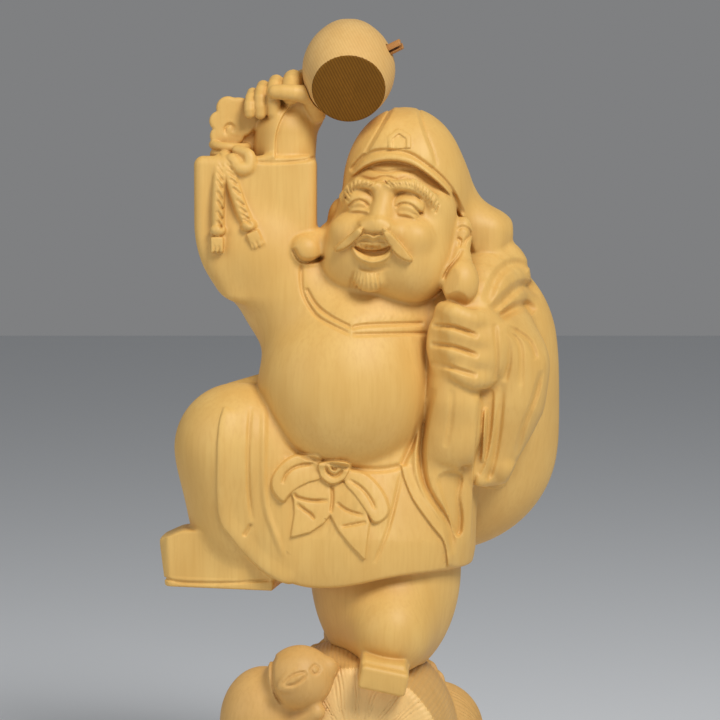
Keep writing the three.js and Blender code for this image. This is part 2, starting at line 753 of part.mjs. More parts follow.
// The handle ends in a cloud-shaped pommel, with a cord tied round it and two tails on the sleeve
function pommelAndCords() {
  const lobes = [
    [-19, 98, 3.4],
    [-20.7, 99.6, 2],
    [-22.2, 97.4, 1.7],
    [-22.2, 94.9, 1.6],
    [-18.6, 99.6, 1.6],
    [-20.5, 95.4, 2.6],
  ].map(([x, z, r]) => coin([x, -1, z], r, 1.5, 0.6));
  const winding = blend(
    0.5,
    ring([-20.4, -1.4, 92.9], [2.8, 2.6], 0.9, [6, 5, 0]),
    egg([-20.2, -1.4, 92], [3, 3, 1.6]),
  );
  const cords = [
    [[-21.6, -4.6, 91.4], [-22, -7, 88], [-22.2, -7.6, 82], [-22.2, -7.6, 76.6]],
    [[-21, -4.8, 91.4], [-20, -7, 87.6], [-18, -7.6, 81.6], [-15.2, -7.7, 76.2]],
    [[-19.4, -5.2, 91.2], [-17, -6.6, 90.4], [-17.4, -7, 88.6], [-19, -7, 89.8]],
  ].map((points) => strand(points, [1, 1, 1.05, 1]));
  const web = egg([-17, 0.6, 93.8], [3, 1.8, 4.8]);
  return blend(0.5, blend(0.6, ...lobes, web), winding, ...cords);
}

function restingArm() {
  return blend(
    4,
    limb([22, 1, 66], 8, [26.4, -1, 56], 6.3),
    egg([25.6, -2, 54], [6.4, 8, 11.5]),
    limb([27, -4, 56], 6, [24, -8.6, 60.5], 4.4),
    limb([26.4, -3, 49], 6, [24.4, -4, 39.8], 3.8),
  );
}

function restingHand() {
  const back = egg([22.4, -10.4, 59.4], [4.4, 3.8, 6.6]);
  const palm = egg([18.2, -11.2, 60], [5.4, 2.6, 7]);
  const fingers = [
    [14.2, 65.7, 22.2, 64.2],
    [13.9, 62.7, 22.4, 61],
    [13.8, 59.5, 22.4, 57.7],
    [14.4, 56.3, 22.2, 54.4],
  ].map(([xa, za, xb, zb]) =>
    strand(
      [
        [xa + 1.6, -11.5, za],
        [xa + 3.4, -14.3, za - 0.5],
        [xb - 2, -13.9, zb],
        [xb, -11.6, zb],
      ],
      [1.6, 1.7, 1.75, 1.7],
      3,
    ),
  );
  return blend(0.9, back, palm, ...fingers);
}

// The sack hangs behind the right shoulder, and its neck runs over it to the hand
function sack() {
  const bag = blend(
    8,
    egg([16, 13, 41.6], [20.6, 13, 19.6]),
    egg([20.8, 9.5, 57.6], [15.4, 12, 17.8]),
  );
  const neck = strand(
    [
      [24, 3, 71],
      [21.6, -6, 67],
      [18.2, -10.4, 60],
      [17.6, -11.4, 51],
    ],
    [7, 5, 3.6, 3.4],
  );
  const end = egg([17.6, -10.6, 46.6], [4.6, 3.4, 7.4]);
  const lining = limb([22.6, -6.5, 50], 3, [21.6, -6.5, 38], 2.2);
  const lapel = strand(
    [
      [16.4, -5, 67],
      [16, -7.4, 58],
      [15.4, -8.2, 50],
      [14, -8.6, 42],
    ],
    [3.2, 3.4, 3, 2.6],
  );
  return blend(3, bag, neck, end, lining, lapel);
}

const ROBE_FOLDS = [
  [[9.3, 37.4], [10.3, 34.3], [11.7, 31.5], [13.6, 28.4], [15.6, 26.6], [16.6, 24.6], [17.2, 22.3]],
];
const SLEEVE_FOLDS = [
  [[23.3, 66.4], [24, 68.3], [25.1, 70.9], [26.8, 72.6], [28.6, 73.1], [30.7, 72.2]],
  [[25.3, 64.4], [26.2, 66], [27.7, 68.3], [29.6, 69.4], [31.4, 68.8], [33.1, 67.5]],
  [[25.9, 62.9], [27, 64.4], [28.6, 65.5], [30.2, 65.9], [31.4, 64.6]],
  [[26.1, 62.7], [28.3, 61.2], [29.4, 59.3], [29.6, 55.8], [29.2, 50]],
];
const BOW = [
  [
    [-5.5, 39.8],
    [-8.6, 40.2],
    [-11.1, 39.3],
    [-12.8, 37],
    [-13.2, 35.3],
    [-11.6, 32.6],
    [-9.9, 33.8],
    [-5.2, 36.8],
  ],
  [
    [0, 38],
    [3.2, 37.3],
    [5.4, 35.3],
    [6.6, 32.9],
    [5.9, 30.4],
    [3.7, 28.9],
    [3.2, 30.4],
    [0, 35.3],
  ],
  [
    [-5.2, 36.5],
    [-9.9, 33.8],
    [-9.6, 32.6],
    [-10.2, 26.5],
    [-6.2, 28.2],
    [-3.7, 30.4],
    [-3.3, 35.1],
  ],
  [
    [-3, 35.1],
    [-3.2, 30.2],
    [-2, 27.2],
    [0, 24.7],
    [2.2, 23],
    [3, 23.5],
    [2.7, 28.7],
    [-0.2, 35.3],
  ],
];
const BOW_KNOT = [[-5, 38.6], [-4.9, 36.6], [-2.7, 35.2], [-0.5, 36.4], [-0.4, 38.4], [-2.7, 39]];

function figure() {
  const cut = (points, width, depth, back) => ({ points, width, depth, back });
  const raised = (points, depth) => ({ points, width: 0.6, depth: -depth, back: -4, filled: true });
  const body = drawn(blend(1.2, torso(), skirt()), [
    ...BOW.map((points) => raised(points, 1)),
    raised(BOW_KNOT, 1.5),
  ]);
  const legs = blend(1, standingLeg(), raisedLeg());
  const arm = drawn(
    blend(1.6, restingArm(), sack()),
    SLEEVE_FOLDS.map((points) => cut(points, 1.5, 0.9, 8)),
  );
  const clothes = drawn(
    blend(1, body, arm),
    ROBE_FOLDS.map((points) => cut(points, 1.4, 0.9, -2)),
  );
  return blend(
    0.7,
    clothes,
    legs,
    blend(2.5, raisedArm(), torso()),
    fist(),
    pommelAndCords(),
    restingHand(),
    headWithCap(),
  );
}

// How closely the thinning keeps to the surface: the face and the two hands get more of it
const FINE = [
  { low: [-9, -20, 64], high: [24, -4, 90], more: 3 },
  { low: [-25, -9, 88], high: [-3, 6, 108], more: 3 },
  { low: [11, -20, 38], high: [26, -6, 67], more: 2 },
];
function care(x, y, z) {
  const within = FINE.filter((box) => boxDistance(box, x, y, z) === 0);
  return Math.max(1, ...within.map((box) => box.more));
}

// The base and the mallet, in millimetres; z is the height over the table

// A barrel turned about Y, from the radii along its length
function turned(profile, sides, grow = 0) {
  const points = profile.map(([radius, offset]) => new THREE.Vector2(radius && radius + grow, offset));
  points[0].y -= grow;
  points[points.length - 1].y += grow;
  return new THREE.LatheGeometry(points, sides);
}

// A bale bulges in the middle, is rounded at its ends, and has ropes at shares of its half length
function baleProfile(length, middle, end, edge, ropes) {
  const straight = length / 2 - edge;
  const at = (offset) => end + (middle - end) * Math.cos((offset / straight) * 0.5 * Math.PI);
  const body = [-0.8, -0.4, 0, 0.4, 0.8].map((share) => [at(share * straight), share * straight]);
  const bands = ropes.flatMap((share) =>
    [-1, 0, 1].map((step) => {
      const offset = share * straight + step * ROPE_RADIUS;
      return [at(offset) + (step ? 0 : ROPE_RADIUS), offset];
    }),
  );
  const turns = edge > 5 ? [0, 25, 50, 75, 90] : [0, 90];
  const corner = turns.map((angle) => [
    end - edge + edge * Math.cos(radians(angle)),
    straight + edge * Math.sin(radians(angle)),
  ]);
  const mirrored = corner.map(([radius, offset]) => [radius, -offset]).reverse();
  const barrel = [...body, ...bands].sort((a, b) => a[1] - b[1]);
  return [[0, -length / 2 - BALE_DOME], ...mirrored, ...barrel, ...corner, [0, length / 2 + BALE_DOME]];
}

function solidOf(geometry, matrix = new THREE.Matrix4()) {
  const plain = geometry.clone();
  plain.deleteAttribute("normal");
  plain.deleteAttribute("uv");
  const merged = mergeVertices(plain.applyMatrix4(matrix), 1e-4);
  const vertProperties = Float32Array.from(merged.attributes.position.array);
  const triVerts = Uint32Array.from(merged.index.array);
  return new wasm.Manifold(new wasm.Mesh({ numProp: 3, vertProperties, triVerts }));
}

function geometryFrom(solid) {
  const { vertProperties, triVerts } = solid.getMesh();
  const geometry = new THREE.BufferGeometry();
  geometry.setAttribute("position", new THREE.BufferAttribute(Float32Array.from(vertProperties), 3));
  return geometry.setIndex(new THREE.BufferAttribute(Uint32Array.from(triVerts), 1));
}

// A matrix that sets the Y axis along a direction at a place, both in modules
function along(direction, at) {
  const turn = new THREE.Quaternion().setFromUnitVectors(
    new THREE.Vector3(0, 1, 0),
    new THREE.Vector3(...direction).normalize(),
  );
  const position = new THREE.Vector3(...at).multiplyScalar(MODULE);
  return new THREE.Matrix4().compose(position, turn, new THREE.Vector3(1, 1, 1));
}

const MALLET_CENTRE = [-0.2, -3.8, 106];
const MALLET_AXIS = [0, Math.cos(radians(28)), Math.sin(radians(28))];
const HANDLE_AXIS = [0.879, -0.224, 0.422];
const FIST_REACH = 9; // from the middle of the barrel to the fist, along the handle
const BALE_TOP = 8.36; // the height of the front bale's back under the foot
const GROUND_BACK = 1.5; // how far the middle of the ground lies behind the figure's
const FRONT_ROPE = 0.7; // where the ropes lie, as shares of half a bale's length
const CROSS_ROPES = [-0.6, 0.6];

function malletProfile() {
  const half = MALLET_LENGTH / 2;
  return [
    [0, -half],
    [MALLET_END_RADIUS - 0.6, -half],
    [MALLET_END_RADIUS, -half + 0.6],
    [mix(MALLET_END_RADIUS, MALLET_RADIUS, 0.62), -half * 0.62],
    [mix(MALLET_END_RADIUS, MALLET_RADIUS, 0.92), -half * 0.3],
    [MALLET_RADIUS, 0],
    [mix(MALLET_END_RADIUS, MALLET_RADIUS, 0.92), half * 0.3],
    [mix(MALLET_END_RADIUS, MALLET_RADIUS, 0.62), half * 0.62],
    [MALLET_END_RADIUS, half - 0.6],
    [MALLET_END_RADIUS - 0.6, half],
    [0, half],
  ];
}

function mouse() {
  const body = blend(
    3,
    egg([-14.6, -10.5, -4], [7.4, 7.8, 9.4]),
    egg([-16.6, -11.5, -15], [7, 8, 11]),
    egg([-19.5, -14.5, -22], [4.5, 5.5, 4.5]),
  );
  const face = blend(
    1.5,
    egg([-8.4, -15, 4.4], [5.7, 5.6, 5.4], [0, -8, 0]),
    limb([-6.8, -15.4, 5], 3.6, [-3.4, -15.8, 6.3], 1.5),
  );
  const ears = [-20, -10].map((y) => egg([-9.6, y, 4.6], [2.6, 0.8, 1.3], [0, -28, 0]));
  const paw = limb([-9.4, -15, -4], 2, [-5.6, -17, -1], 1.5);
  const tail = strand(
    [
      [-21, -9, -22],
      [-25, -3, -24.6],
      [-24, 6, -24.8],
      [-21, 12, -24.6],
    ],
    [1.3, 1.1, 0.9, 0.6],
  );
  return blend(1.2, blend(2, body, face), ...ears, paw, tail);
}

const frontHeight = BALE_TOP * MODULE - BALE_RADIUS;
const groundTop = frontHeight - BALE_RADIUS + BALE_SINK;
const crossHeight = groundTop + CROSS_BALE_RADIUS - BALE_SINK;
const frontPlace = along([0.07, 1, 0], [1.6, 0.2, frontHeight / MODULE]);
const crossPlace = along([1, -0.14, 0], [0.4, 13, crossHeight / MODULE]);
const malletPlace = along(MALLET_AXIS, MALLET_CENTRE);
const handlePlace = along(HANDLE_AXIS, MALLET_CENTRE);

const frontBale = (grow) =>
  turned(
    baleProfile(FRONT_BALE_LENGTH, BALE_RADIUS, BALE_END_RADIUS, FRONT_BALE_EDGE, [FRONT_ROPE]),
    24,
    grow,
  );
const crossBale = turned(
  baleProfile(CROSS_BALE_LENGTH, CROSS_BALE_RADIUS, CROSS_BALE_END_RADIUS, CROSS_BALE_EDGE, CROSS_ROPES),
  18,
);
const mallet = (grow) => turned(malletProfile(), 24, grow);

// The low ground is an ellipse with eased edges
function ground() {
  const outline = new THREE.Shape();
  outline.absellipse(0, 0, SLAB_LENGTH / 2 - SLAB_EASE, SLAB_WIDTH / 2 - SLAB_EASE, 0, 2 * Math.PI);
  const slabGeometry = new THREE.ExtrudeGeometry(outline, {
    depth: SLAB_HEIGHT - 2 * SLAB_EASE,
    bevelThickness: SLAB_EASE,
    bevelSize: SLAB_EASE,
    bevelSegments: 1,
    curveSegments: 12,
  });
  return slabGeometry.translate(0, GROUND_BACK * MODULE, groundTop - SLAB_HEIGHT + SLAB_EASE);
}

// The knot of the front bale's rope, behind the foot
function knot() {
  const back = FRONT_ROPE * (FRONT_BALE_LENGTH / 2 - FRONT_BALE_EDGE);
  const height = frontHeight + BALE_END_RADIUS + ROPE_RADIUS - KNOT_RADIUS / 2;
  return new THREE.SphereGeometry(KNOT_RADIUS, 12, 8).translate(-3.6 * MODULE, back, height);
}

const rod = (radius, from, to) =>
  new THREE.CylinderGeometry(radius, radius, to - from, 16).translate(0, (from + to) / 2, 0);
const handleEnd = MALLET_RADIUS + HANDLE_PROUD;
const handleDepth = FIST_REACH * MODULE + HANDLE_GRIP;
const kerf = new THREE.BoxGeometry(4 * HANDLE_RADIUS, 3 * HANDLE_PROUD, HANDLE_KERF);
kerf.translate(0, handleEnd, 0);
const handle = solidOf(rod(HANDLE_RADIUS, -handleDepth, handleEnd), handlePlace).subtract(
  solidOf(kerf, handlePlace),
);
const handleBore = solidOf(rod(HANDLE_RADIUS + GAP, -handleDepth - GAP, 2 * handleEnd), handlePlace);
const barrelBore = solidOf(rod(HANDLE_RADIUS + GAP, -2 * handleEnd, 2 * handleEnd), handlePlace);
const barrel = solidOf(mallet(0), malletPlace).subtract(barrelBore);

const base = solidOf(ground())
  .add(solidOf(frontBale(0), frontPlace))
  .add(solidOf(crossBale, crossPlace))
  .add(solidOf(knot()))
  .add(solidOf(thinned(surfaceOf(mouse(), MESH_CELL / MODULE), MOUSE_TRIANGLES)));
const carved = solidOf(thinned(surfaceOf(figure(), MESH_CELL / MODULE), FIGURE_TRIANGLES, care))
  .subtract(handleBore)
  .subtract(solidOf(mallet(GAP), malletPlace))
  .subtract(solidOf(frontBale(GAP), frontPlace));

// The four pieces, each with its own wood: the base is redder, the mallet darker
const work = new THREE.Group();
for (const [name, solid, color, roughness] of [
  ["figure", carved, "#dcb678", 0.5],
  ["mallet_head", barrel, "#c79f63", 0.55],
  ["mallet_handle", handle, "#d9b06c", 0.55],
  ["rice_bale_base", base, "#d8a45e", 0.6],
]) {
  const material = new THREE.MeshStandardMaterial({ color, roughness, metalness: 0 });
  const mesh = new THREE.Mesh(geometryFrom(solid), material);
  mesh.name = name;
  work.add(mesh);
}

// The work stands on z = 0, in the middle of its own outline
const bounds = new THREE.Box3().setFromObject(work);
work.position.set(-(bounds.min.x + bounds.max.x) / 2, -(bounds.min.y + bounds.max.y) / 2, -bounds.min.z);
const group = new THREE.Group();
group.add(work);

export default group;
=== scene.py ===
"""A carved wooden figure of a laughing lucky god, dancing on rice bales with a mallet and a sack.

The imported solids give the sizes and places. Each carved piece is worked out again here as a distance
field, with the fine carving that the solids leave out, and meshed on the small cells near its surface.
Lengths in the fields are modules, hundredths of the figure's height; Blender's are metres.
"""

import math
from concurrent.futures import ThreadPoolExecutor

import bpy
import numpy as np
from mathutils import Matrix, Vector


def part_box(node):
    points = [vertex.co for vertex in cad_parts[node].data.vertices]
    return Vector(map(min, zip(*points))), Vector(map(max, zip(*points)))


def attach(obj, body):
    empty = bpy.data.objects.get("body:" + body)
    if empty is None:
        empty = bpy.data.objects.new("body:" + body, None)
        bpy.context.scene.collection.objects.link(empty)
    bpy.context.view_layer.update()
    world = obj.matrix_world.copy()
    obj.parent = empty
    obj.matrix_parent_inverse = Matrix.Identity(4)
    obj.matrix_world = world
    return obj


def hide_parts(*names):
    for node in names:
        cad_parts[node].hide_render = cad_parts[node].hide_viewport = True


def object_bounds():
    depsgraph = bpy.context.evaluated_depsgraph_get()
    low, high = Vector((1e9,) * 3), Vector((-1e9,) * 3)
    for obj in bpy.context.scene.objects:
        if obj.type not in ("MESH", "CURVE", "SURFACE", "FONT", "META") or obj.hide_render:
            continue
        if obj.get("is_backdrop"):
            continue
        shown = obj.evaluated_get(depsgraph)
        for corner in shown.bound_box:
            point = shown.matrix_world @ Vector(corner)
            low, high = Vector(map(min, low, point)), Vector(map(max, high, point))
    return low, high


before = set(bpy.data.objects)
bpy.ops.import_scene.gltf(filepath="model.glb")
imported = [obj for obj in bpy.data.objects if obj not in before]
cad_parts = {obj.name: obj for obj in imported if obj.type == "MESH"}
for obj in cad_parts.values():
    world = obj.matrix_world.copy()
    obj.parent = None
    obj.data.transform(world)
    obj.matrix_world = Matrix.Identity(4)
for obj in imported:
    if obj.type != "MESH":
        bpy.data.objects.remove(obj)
cad_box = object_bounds()

# Driving dimensions, in metres, as in the solids

FIGURE_HEIGHT = 0.204
MODULE = FIGURE_HEIGHT / 100
BALE_RADIUS = 0.035
BALE_END_RADIUS = 0.0308
FRONT_BALE_LENGTH = 0.066
FRONT_BALE_EDGE = 0.0032
CROSS_BALE_RADIUS = 0.026
CROSS_BALE_END_RADIUS = 0.0245
CROSS_BALE_LENGTH = 0.092
CROSS_BALE_EDGE = 0.016
BALE_DOME = 0.0018
BALE_SINK = 0.001
ROPE_RADIUS = 0.0015
KNOT_RADIUS = 0.007
SLAB_HEIGHT = 0.007
SLAB_LENGTH = 0.118
SLAB_WIDTH = 0.102
MALLET_RADIUS = 0.016
MALLET_END_RADIUS = 0.0126
MALLET_LENGTH = 0.030
MALLET_EDGE = 0.0006
HANDLE_RADIUS = 0.0019
HANDLE_PROUD = 0.0046
HANDLE_GRIP = 0.0115
HANDLE_KERF = 0.0009
GAP = 0.0003

# Places, in modules, in the figure's own frame

MALLET_CENTRE = np.array([-0.2, -3.8, 106])
MALLET_SLOPE = math.radians(28)
HANDLE_AXIS = np.array([0.879, -0.224, 0.422])
FIST_REACH = 9
BALE_TOP = 8.36
GROUND_BACK = 1.5
BOX_MARGIN = 0.02

# The solid of the mallet's head shows where the figure's own frame lies

mallet_low, mallet_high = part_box("mallet_head")
ORIGIN = np.array((mallet_low + mallet_high) / 2) - MALLET_CENTRE * MODULE

# Marks of the carving: sizes in modules, counts round a bale, and the share of its half length at the rope

STEP_EDGE = 0.3
STRAW_DEPTH = 0.2
TWIST_DEPTH = 0.14
FRONT_STRAWS = 120
CROSS_STRAWS = 84
FRONT_TWISTS = 44
CROSS_TWISTS = 34
FRONT_ROPE_AT = 0.7
CROSS_ROPE_AT = 0.6

# How each piece is meshed: fine cells along a coarse one, and the most triangles

FIGURE_MESH = (4, 190_000)
BASE_MESH = (4, 190_000)
MALLET_MESH = (6, 60_000)
HANDLE_MESH = (8, 20_000)
FLOAT = np.float32

# Tones: the light wood, the dark wood, and the darkest tone, which is painted shade in the hollows and also
# the year rings where a wood has stripes; and the turn of the mallet's year rings

FIGURE_TONES = ((0.80, 0.50, 0.145), (0.70, 0.395, 0.095), (0.48, 0.22, 0.04))
MALLET_TONES = ((0.78, 0.49, 0.17), (0.68, 0.39, 0.115), (0.45, 0.23, 0.06))
END_GRAIN_TONES = ((0.25, 0.104, 0.008), (0.19, 0.078, 0.005), (0.10, 0.036, 0.002))
HANDLE_TONES = ((0.54, 0.25, 0.07), (0.44, 0.19, 0.045), (0.28, 0.11, 0.02))
BALE_TONES = ((0.74, 0.44, 0.14), (0.62, 0.34, 0.09), (0.40, 0.18, 0.04))
# The front bale's end is a lighter copy of the bale's wood: painted light
LIT_BALE_END_TONES = ((0.94, 0.62, 0.24), (0.85, 0.52, 0.18), (0.60, 0.32, 0.10))
RING_TURN = (0, math.radians(28), 0)
FLOOR_COLOUR = (0.76, 0.78, 0.80)
SKY_COLOUR = (0.85, 0.86, 0.88)

# Floor, light and camera, in metres; a lamp has a place, a size and a power in watts

FLOOR_SIZE = 6
LIGHT_AIM = (0, 0, 0.16)
KEY_LIGHT = ((0.42, -0.74, 1.0), 0.42, 10.8)
SIDE_LIGHT = ((-0.85, -0.55, 0.6), 0.6, 2.4)
SKY_STRENGTH = 0.25
SENSOR_MM = 36


# Distance fields


class Field:
    """A shape, as a distance function and the box that holds the shape.

    The function takes points (N, 3), the box that holds them, as its middle and half size, and the reach
    within which the result has to be right.
    """

    def __init__(self, distance, low, high):
        self.distance = distance
        self.middle = (np.asarray(low, float) + np.asarray(high, float)) / 2
        self.half = (np.asarray(high, float) - np.asarray(low, float)) / 2

    def apart(self, box):
        """The least distance between the field's box and another."""
        gap = np.maximum(np.abs(self.middle - box[0]) - self.half - box[1], 0)
        return math.sqrt(float(gap @ gap))

    def changed(self, distance, margin=0):
        """Another distance in the same box, or in one larger by a margin."""
        return Field(distance, self.middle - self.half - margin, self.middle + self.half + margin)


def size_of(rows):
    """The length of each row."""
    return np.sqrt(np.einsum("ij,ij->i", rows, rows))


def eased(across, along, rounding):
    """The distance to a shape with rounded edges, from the heights over its side and its end."""
    outside = np.hypot(np.maximum(across, 0), np.maximum(along, 0))
    return outside + np.minimum(np.maximum(across, along), 0) - rounding


def turning(turn):
    """The rotation about X, then Y, then Z, in degrees."""
    ax, ay, az = (math.radians(a) for a in turn)
    matrix = Matrix.Rotation(az, 3, "Z") @ Matrix.Rotation(ay, 3, "Y") @ Matrix.Rotation(ax, 3, "X")
    return np.array(matrix)


def place(field, centre, turn=(0, 0, 0)):
    """A field made around its own origin, turned and moved into place."""
    matrix = turn if isinstance(turn, np.ndarray) else turning(turn)
    spread = np.abs(matrix)
    centre = np.asarray(centre, float)
    turned = matrix.astype(FLOAT)
    shift = centre.astype(FLOAT)

    def distance(points, box, reach):
        inner = (matrix.T @ (box[0] - centre), spread.T @ box[1])
        return field.distance((points - shift) @ turned, inner, reach)

    middle = matrix @ field.middle + centre
    half = spread @ field.half
    return Field(distance, middle - half, middle + half)


def egg(centre, radii, turn=(0, 0, 0)):
    radius = np.array(radii, FLOAT)

    def distance(points, box, reach):
        scaled = points / radius
        near = size_of(scaled)
        slope = size_of(scaled / radius)
        return near * (near - 1) / np.maximum(slope, 1e-6)

    return place(Field(distance, -radius, radius), centre, turn)


def slab(centre, half, rounding, turn=(0, 0, 0)):
    half = np.array(half, FLOAT)

    def distance(points, box, reach):
        q = np.abs(points) - (half - rounding)
        return size_of(np.maximum(q, 0)) + np.minimum(q.max(1), 0) - rounding

    return place(Field(distance, -half, half), centre, turn)


def limb(a, ra, b, rb):
    """A tapering rod with round ends."""
    start = np.array(a, FLOAT)
    axis = np.array(b, FLOAT) - start
    length2 = float(axis @ axis)

    def distance(points, box, reach):
        off = points - start
        t = np.clip(off @ axis / length2, 0, 1)
        return size_of(off - t[:, None] * axis) - (ra + (rb - ra) * t)

    low = np.minimum(np.array(a) - ra, np.array(b) - rb)
    high = np.maximum(np.array(a) + ra, np.array(b) + rb)
    return Field(distance, low, high)


def disc(centre, radius, half, rounding, turn=(0, 0, 0)):
    """A disc or drum about its own Y axis."""

    def distance(points, box, reach):
        across = np.hypot(points[:, 0], points[:, 2]) - (radius - rounding)
        along = np.abs(points[:, 1]) - (half - rounding)
        return eased(across, along, rounding)

    size = np.array([radius, half, radius])
    return place(Field(distance, -size, size), centre, turn)


def ring(centre, radii, radius, turn=(0, 0, 0)):
    """A ring about its own Z axis, with two radii."""
    rx, ry = radii

    def distance(points, box, reach):
        x, y = points[:, 0] / rx, points[:, 1] / ry
        near = np.hypot(x, y)
        slope = np.maximum(np.hypot(x / rx, y / ry), 1e-6)
        return np.hypot(near * (near - 1) / slope, points[:, 2]) - radius

    size = np.array([rx + radius, ry + radius, radius])
    return place(Field(distance, -size, size), centre, turn)


def soft_least(d, e, k):
    h = np.maximum(k - np.abs(d - e), 0)
    return np.minimum(d, e) - h * h / (4 * k)


def blend(k, *fields):
    """Fields joined with fillets of about k."""

    def distance(points, box, reach):
        total = None
        for field in fields:
            if field.apart(box) > reach + k:
                continue
            new = field.distance(points, box, reach + k)
            total = new if total is None else soft_least(total, new, k)
        return np.full(len(points), reach + k, FLOAT) if total is None else total

    low = np.min([f.middle - f.half for f in fields], 0)
    high = np.max([f.middle + f.half for f in fields], 0)
    return Field(distance, low, high)


def carve(k, base, *tools):
    """A base with tools cut out of it, the edges eased by about k."""

    def distance(points, box, reach):
        d = base.distance(points, box, reach + k)
        for tool in tools:
            if tool.apart(box) <= reach + k:
                d = -soft_least(-d, tool.distance(points, box, reach + k), k)
        return d

    return base.changed(distance)


def trim(k, base, limit):
    """The base inside a limit, a function of x, y and z that is negative there."""

    def distance(points, box, reach):
        d = base.distance(points, box, reach + k)
        return -soft_least(-d, -limit(*points.T), k)

    return base.changed(distance)


def stretched(field, centre, scale):
    """A field flattened or drawn out along the axes through a centre."""
    least = min(scale)
    middle = np.array(centre, FLOAT)
    factor = np.array(scale, FLOAT)

    def distance(points, box, reach):
        inner = (centre + (box[0] - centre) / factor, box[1] / factor)
        return least * field.distance(middle + (points - middle) / factor, inner, reach / least)

    around = middle + (field.middle - middle) * factor
    return Field(distance, around - field.half * factor, around + field.half * factor)


def curve_through(points, steps):
    """A smooth curve through points of any dimension, with steps pieces between two."""
    p = np.array([points[0], *points, points[-1]], float)
    found = []
    for i in range(1, len(p) - 2):
        a, b, c, d = p[i - 1 : i + 3]
        for t in np.arange(steps) / steps:
            square = (2 * a - 5 * b + 4 * c - d) * t**2
            cube = (3 * b - a - 3 * c + d) * t**3
            found.append(0.5 * (2 * b + (c - a) * t + square + cube))
    return np.array([*found, p[-1]])


def strand(points, radii, steps=4):
    """Points joined by a smooth curve, as rods of changing radius."""
    path = curve_through(points, steps)
    along = np.linspace(0, len(radii) - 1, len(path))
    radius = np.interp(along, range(len(radii)), radii)
    return blend(0.1, *(limb(path[i], radius[i], path[i + 1], radius[i + 1]) for i in range(len(path) - 1)))


# The camera's eye, in modules; the lines of the carving are drawn as it sees them

PHOTO_PIXELS = 720
PIXELS_PER_MODULE = 5.83
EYE_AIM = np.array([1.7, 0, 56.6])
EYE_DISTANCE = 465
EYE_SLOPE = math.radians(4)
FORWARD = np.array([0, math.cos(EYE_SLOPE), -math.sin(EYE_SLOPE)])
UPWARD = np.array([0, math.sin(EYE_SLOPE), math.cos(EYE_SLOPE)])
EYE = EYE_AIM - EYE_DISTANCE * FORWARD

# How far a stroke may cut or rise, and the depth over which it dies away in front of its back limit

STROKE_REACH = 2
STROKE_RISE = 1.5
BACK_FADE = 2


def seen(points):
    """Where the eye sees points, as [x, z] on the plane through the figure's middle."""
    off = points - EYE.astype(FLOAT)
    depth = off @ FORWARD.astype(FLOAT)
    share = EYE_DISTANCE / depth
    return np.stack([EYE_AIM[0] + off[:, 0] * share, EYE_AIM[2] + (off @ UPWARD.astype(FLOAT)) * share], 1)


class Stroke:
    """A line cut into a front, raised where the depth is negative, a filled patch, or a step.

    A step raises the side on the left of the line, and the rise dies away over its width.
    """

    def __init__(self, points, width, depth, kind="line", fade=0.0, smooth=True):
        if kind == "patch" and smooth:
            path = curve_through([points[-1], *points, points[0], points[1]], 4)[4:-4]
        elif kind == "patch":
            path = np.array([*points, points[0]], float)
        else:
            path = curve_through(points, 5) if smooth else np.array(points, float)
        self.start = path[:-1].astype(FLOAT)
        self.edge = np.diff(path, axis=0).astype(FLOAT)
        self.length2 = np.maximum((self.edge**2).sum(1), 1e-9)
        self.width, self.depth, self.kind, self.fade = width, depth, kind, fade
        self.low = path.min(0) - width
        self.high = path.max(0) + width

    def within(self, at):
        """Whether points lie inside a closed outline."""
        below = self.start[:, 1] > at[:, 1:]
        crosses = below != (self.start[:, 1] + self.edge[:, 1] > at[:, 1:])
        rise = np.where(np.abs(self.edge[:, 1]) < 1e-6, 1e-6, self.edge[:, 1])
        left = at[:, :1] < self.start[:, 0] + (at[:, 1:] - self.start[:, 1]) / rise * self.edge[:, 0]
        return (crosses & left).sum(1) % 2 == 1

    def change(self, at):
        """How much deeper the stroke makes the front at each point."""
        off = at[:, None] - self.start
        t = np.clip((off * self.edge).sum(2) / self.length2, 0, 1)
        away = off - t[:, :, None] * self.edge
        near = np.sqrt((away**2).sum(2))
        closest = near.argmin(1)
        best = (np.arange(len(at)), closest)
        least = near[best]
        side = np.clip(1 - least / self.width, 0, 1)
        if self.kind == "patch":
            side = np.where(self.within(at), 1, side)
        if self.kind == "step":
            edge, off = self.edge[closest], away[best]
            lower = edge[:, 0] * off[:, 1] - edge[:, 1] * off[:, 0] < 0
            side = np.where(lower, np.clip(1 - least / STEP_EDGE, 0, 1), side)
        depth = self.depth * side * side * (3 - 2 * side)
        if self.fade:
            share = (closest + t[best]) / len(self.start)
            ends = np.clip(np.minimum(share, 1 - share) / self.fade, 0, 1)
            depth = depth * ends * (2 - ends)
        return depth


def cut(lines, width=0.6, depth=0.4, fade=0.25, smooth=True):
    return [Stroke(points, width, depth, fade=fade, smooth=smooth) for points in lines]


def ridge(lines, width=0.7, height=0.35, fade=0.25):
    return [Stroke(points, width, -height, fade=fade) for points in lines]


def step(lines, width, height, fade=0.15):
    """Cloth that ends on a line: it lies on the line's left."""
    return [Stroke(points, width, -height, "step", fade) for points in lines]


def patch(points, width, height, smooth=True):
    return Stroke(points, width, -height, "patch", smooth=smooth)


def hatch(points, count, length, slant, width=0.3, depth=0.25):
    """Short strokes across a line, turned from it by a slant in degrees."""
    path = curve_through(points, 12)
    turn = complex(math.cos(math.radians(slant)), math.sin(math.radians(slant)))
    made = []
    for share in np.linspace(0.04, 0.96, count):
        i = int(share * (len(path) - 1))
        way = path[min(i + 1, len(path) - 1)] - path[max(i - 1, 0)]
        away = complex(*way) / abs(complex(*way)) * turn * length / 2
        middle = complex(*path[i])
        ends = [(z.real, z.imag) for z in (middle - away, middle + away)]
        made.append(Stroke(ends, width, depth, fade=0.3, smooth=False))
    return made


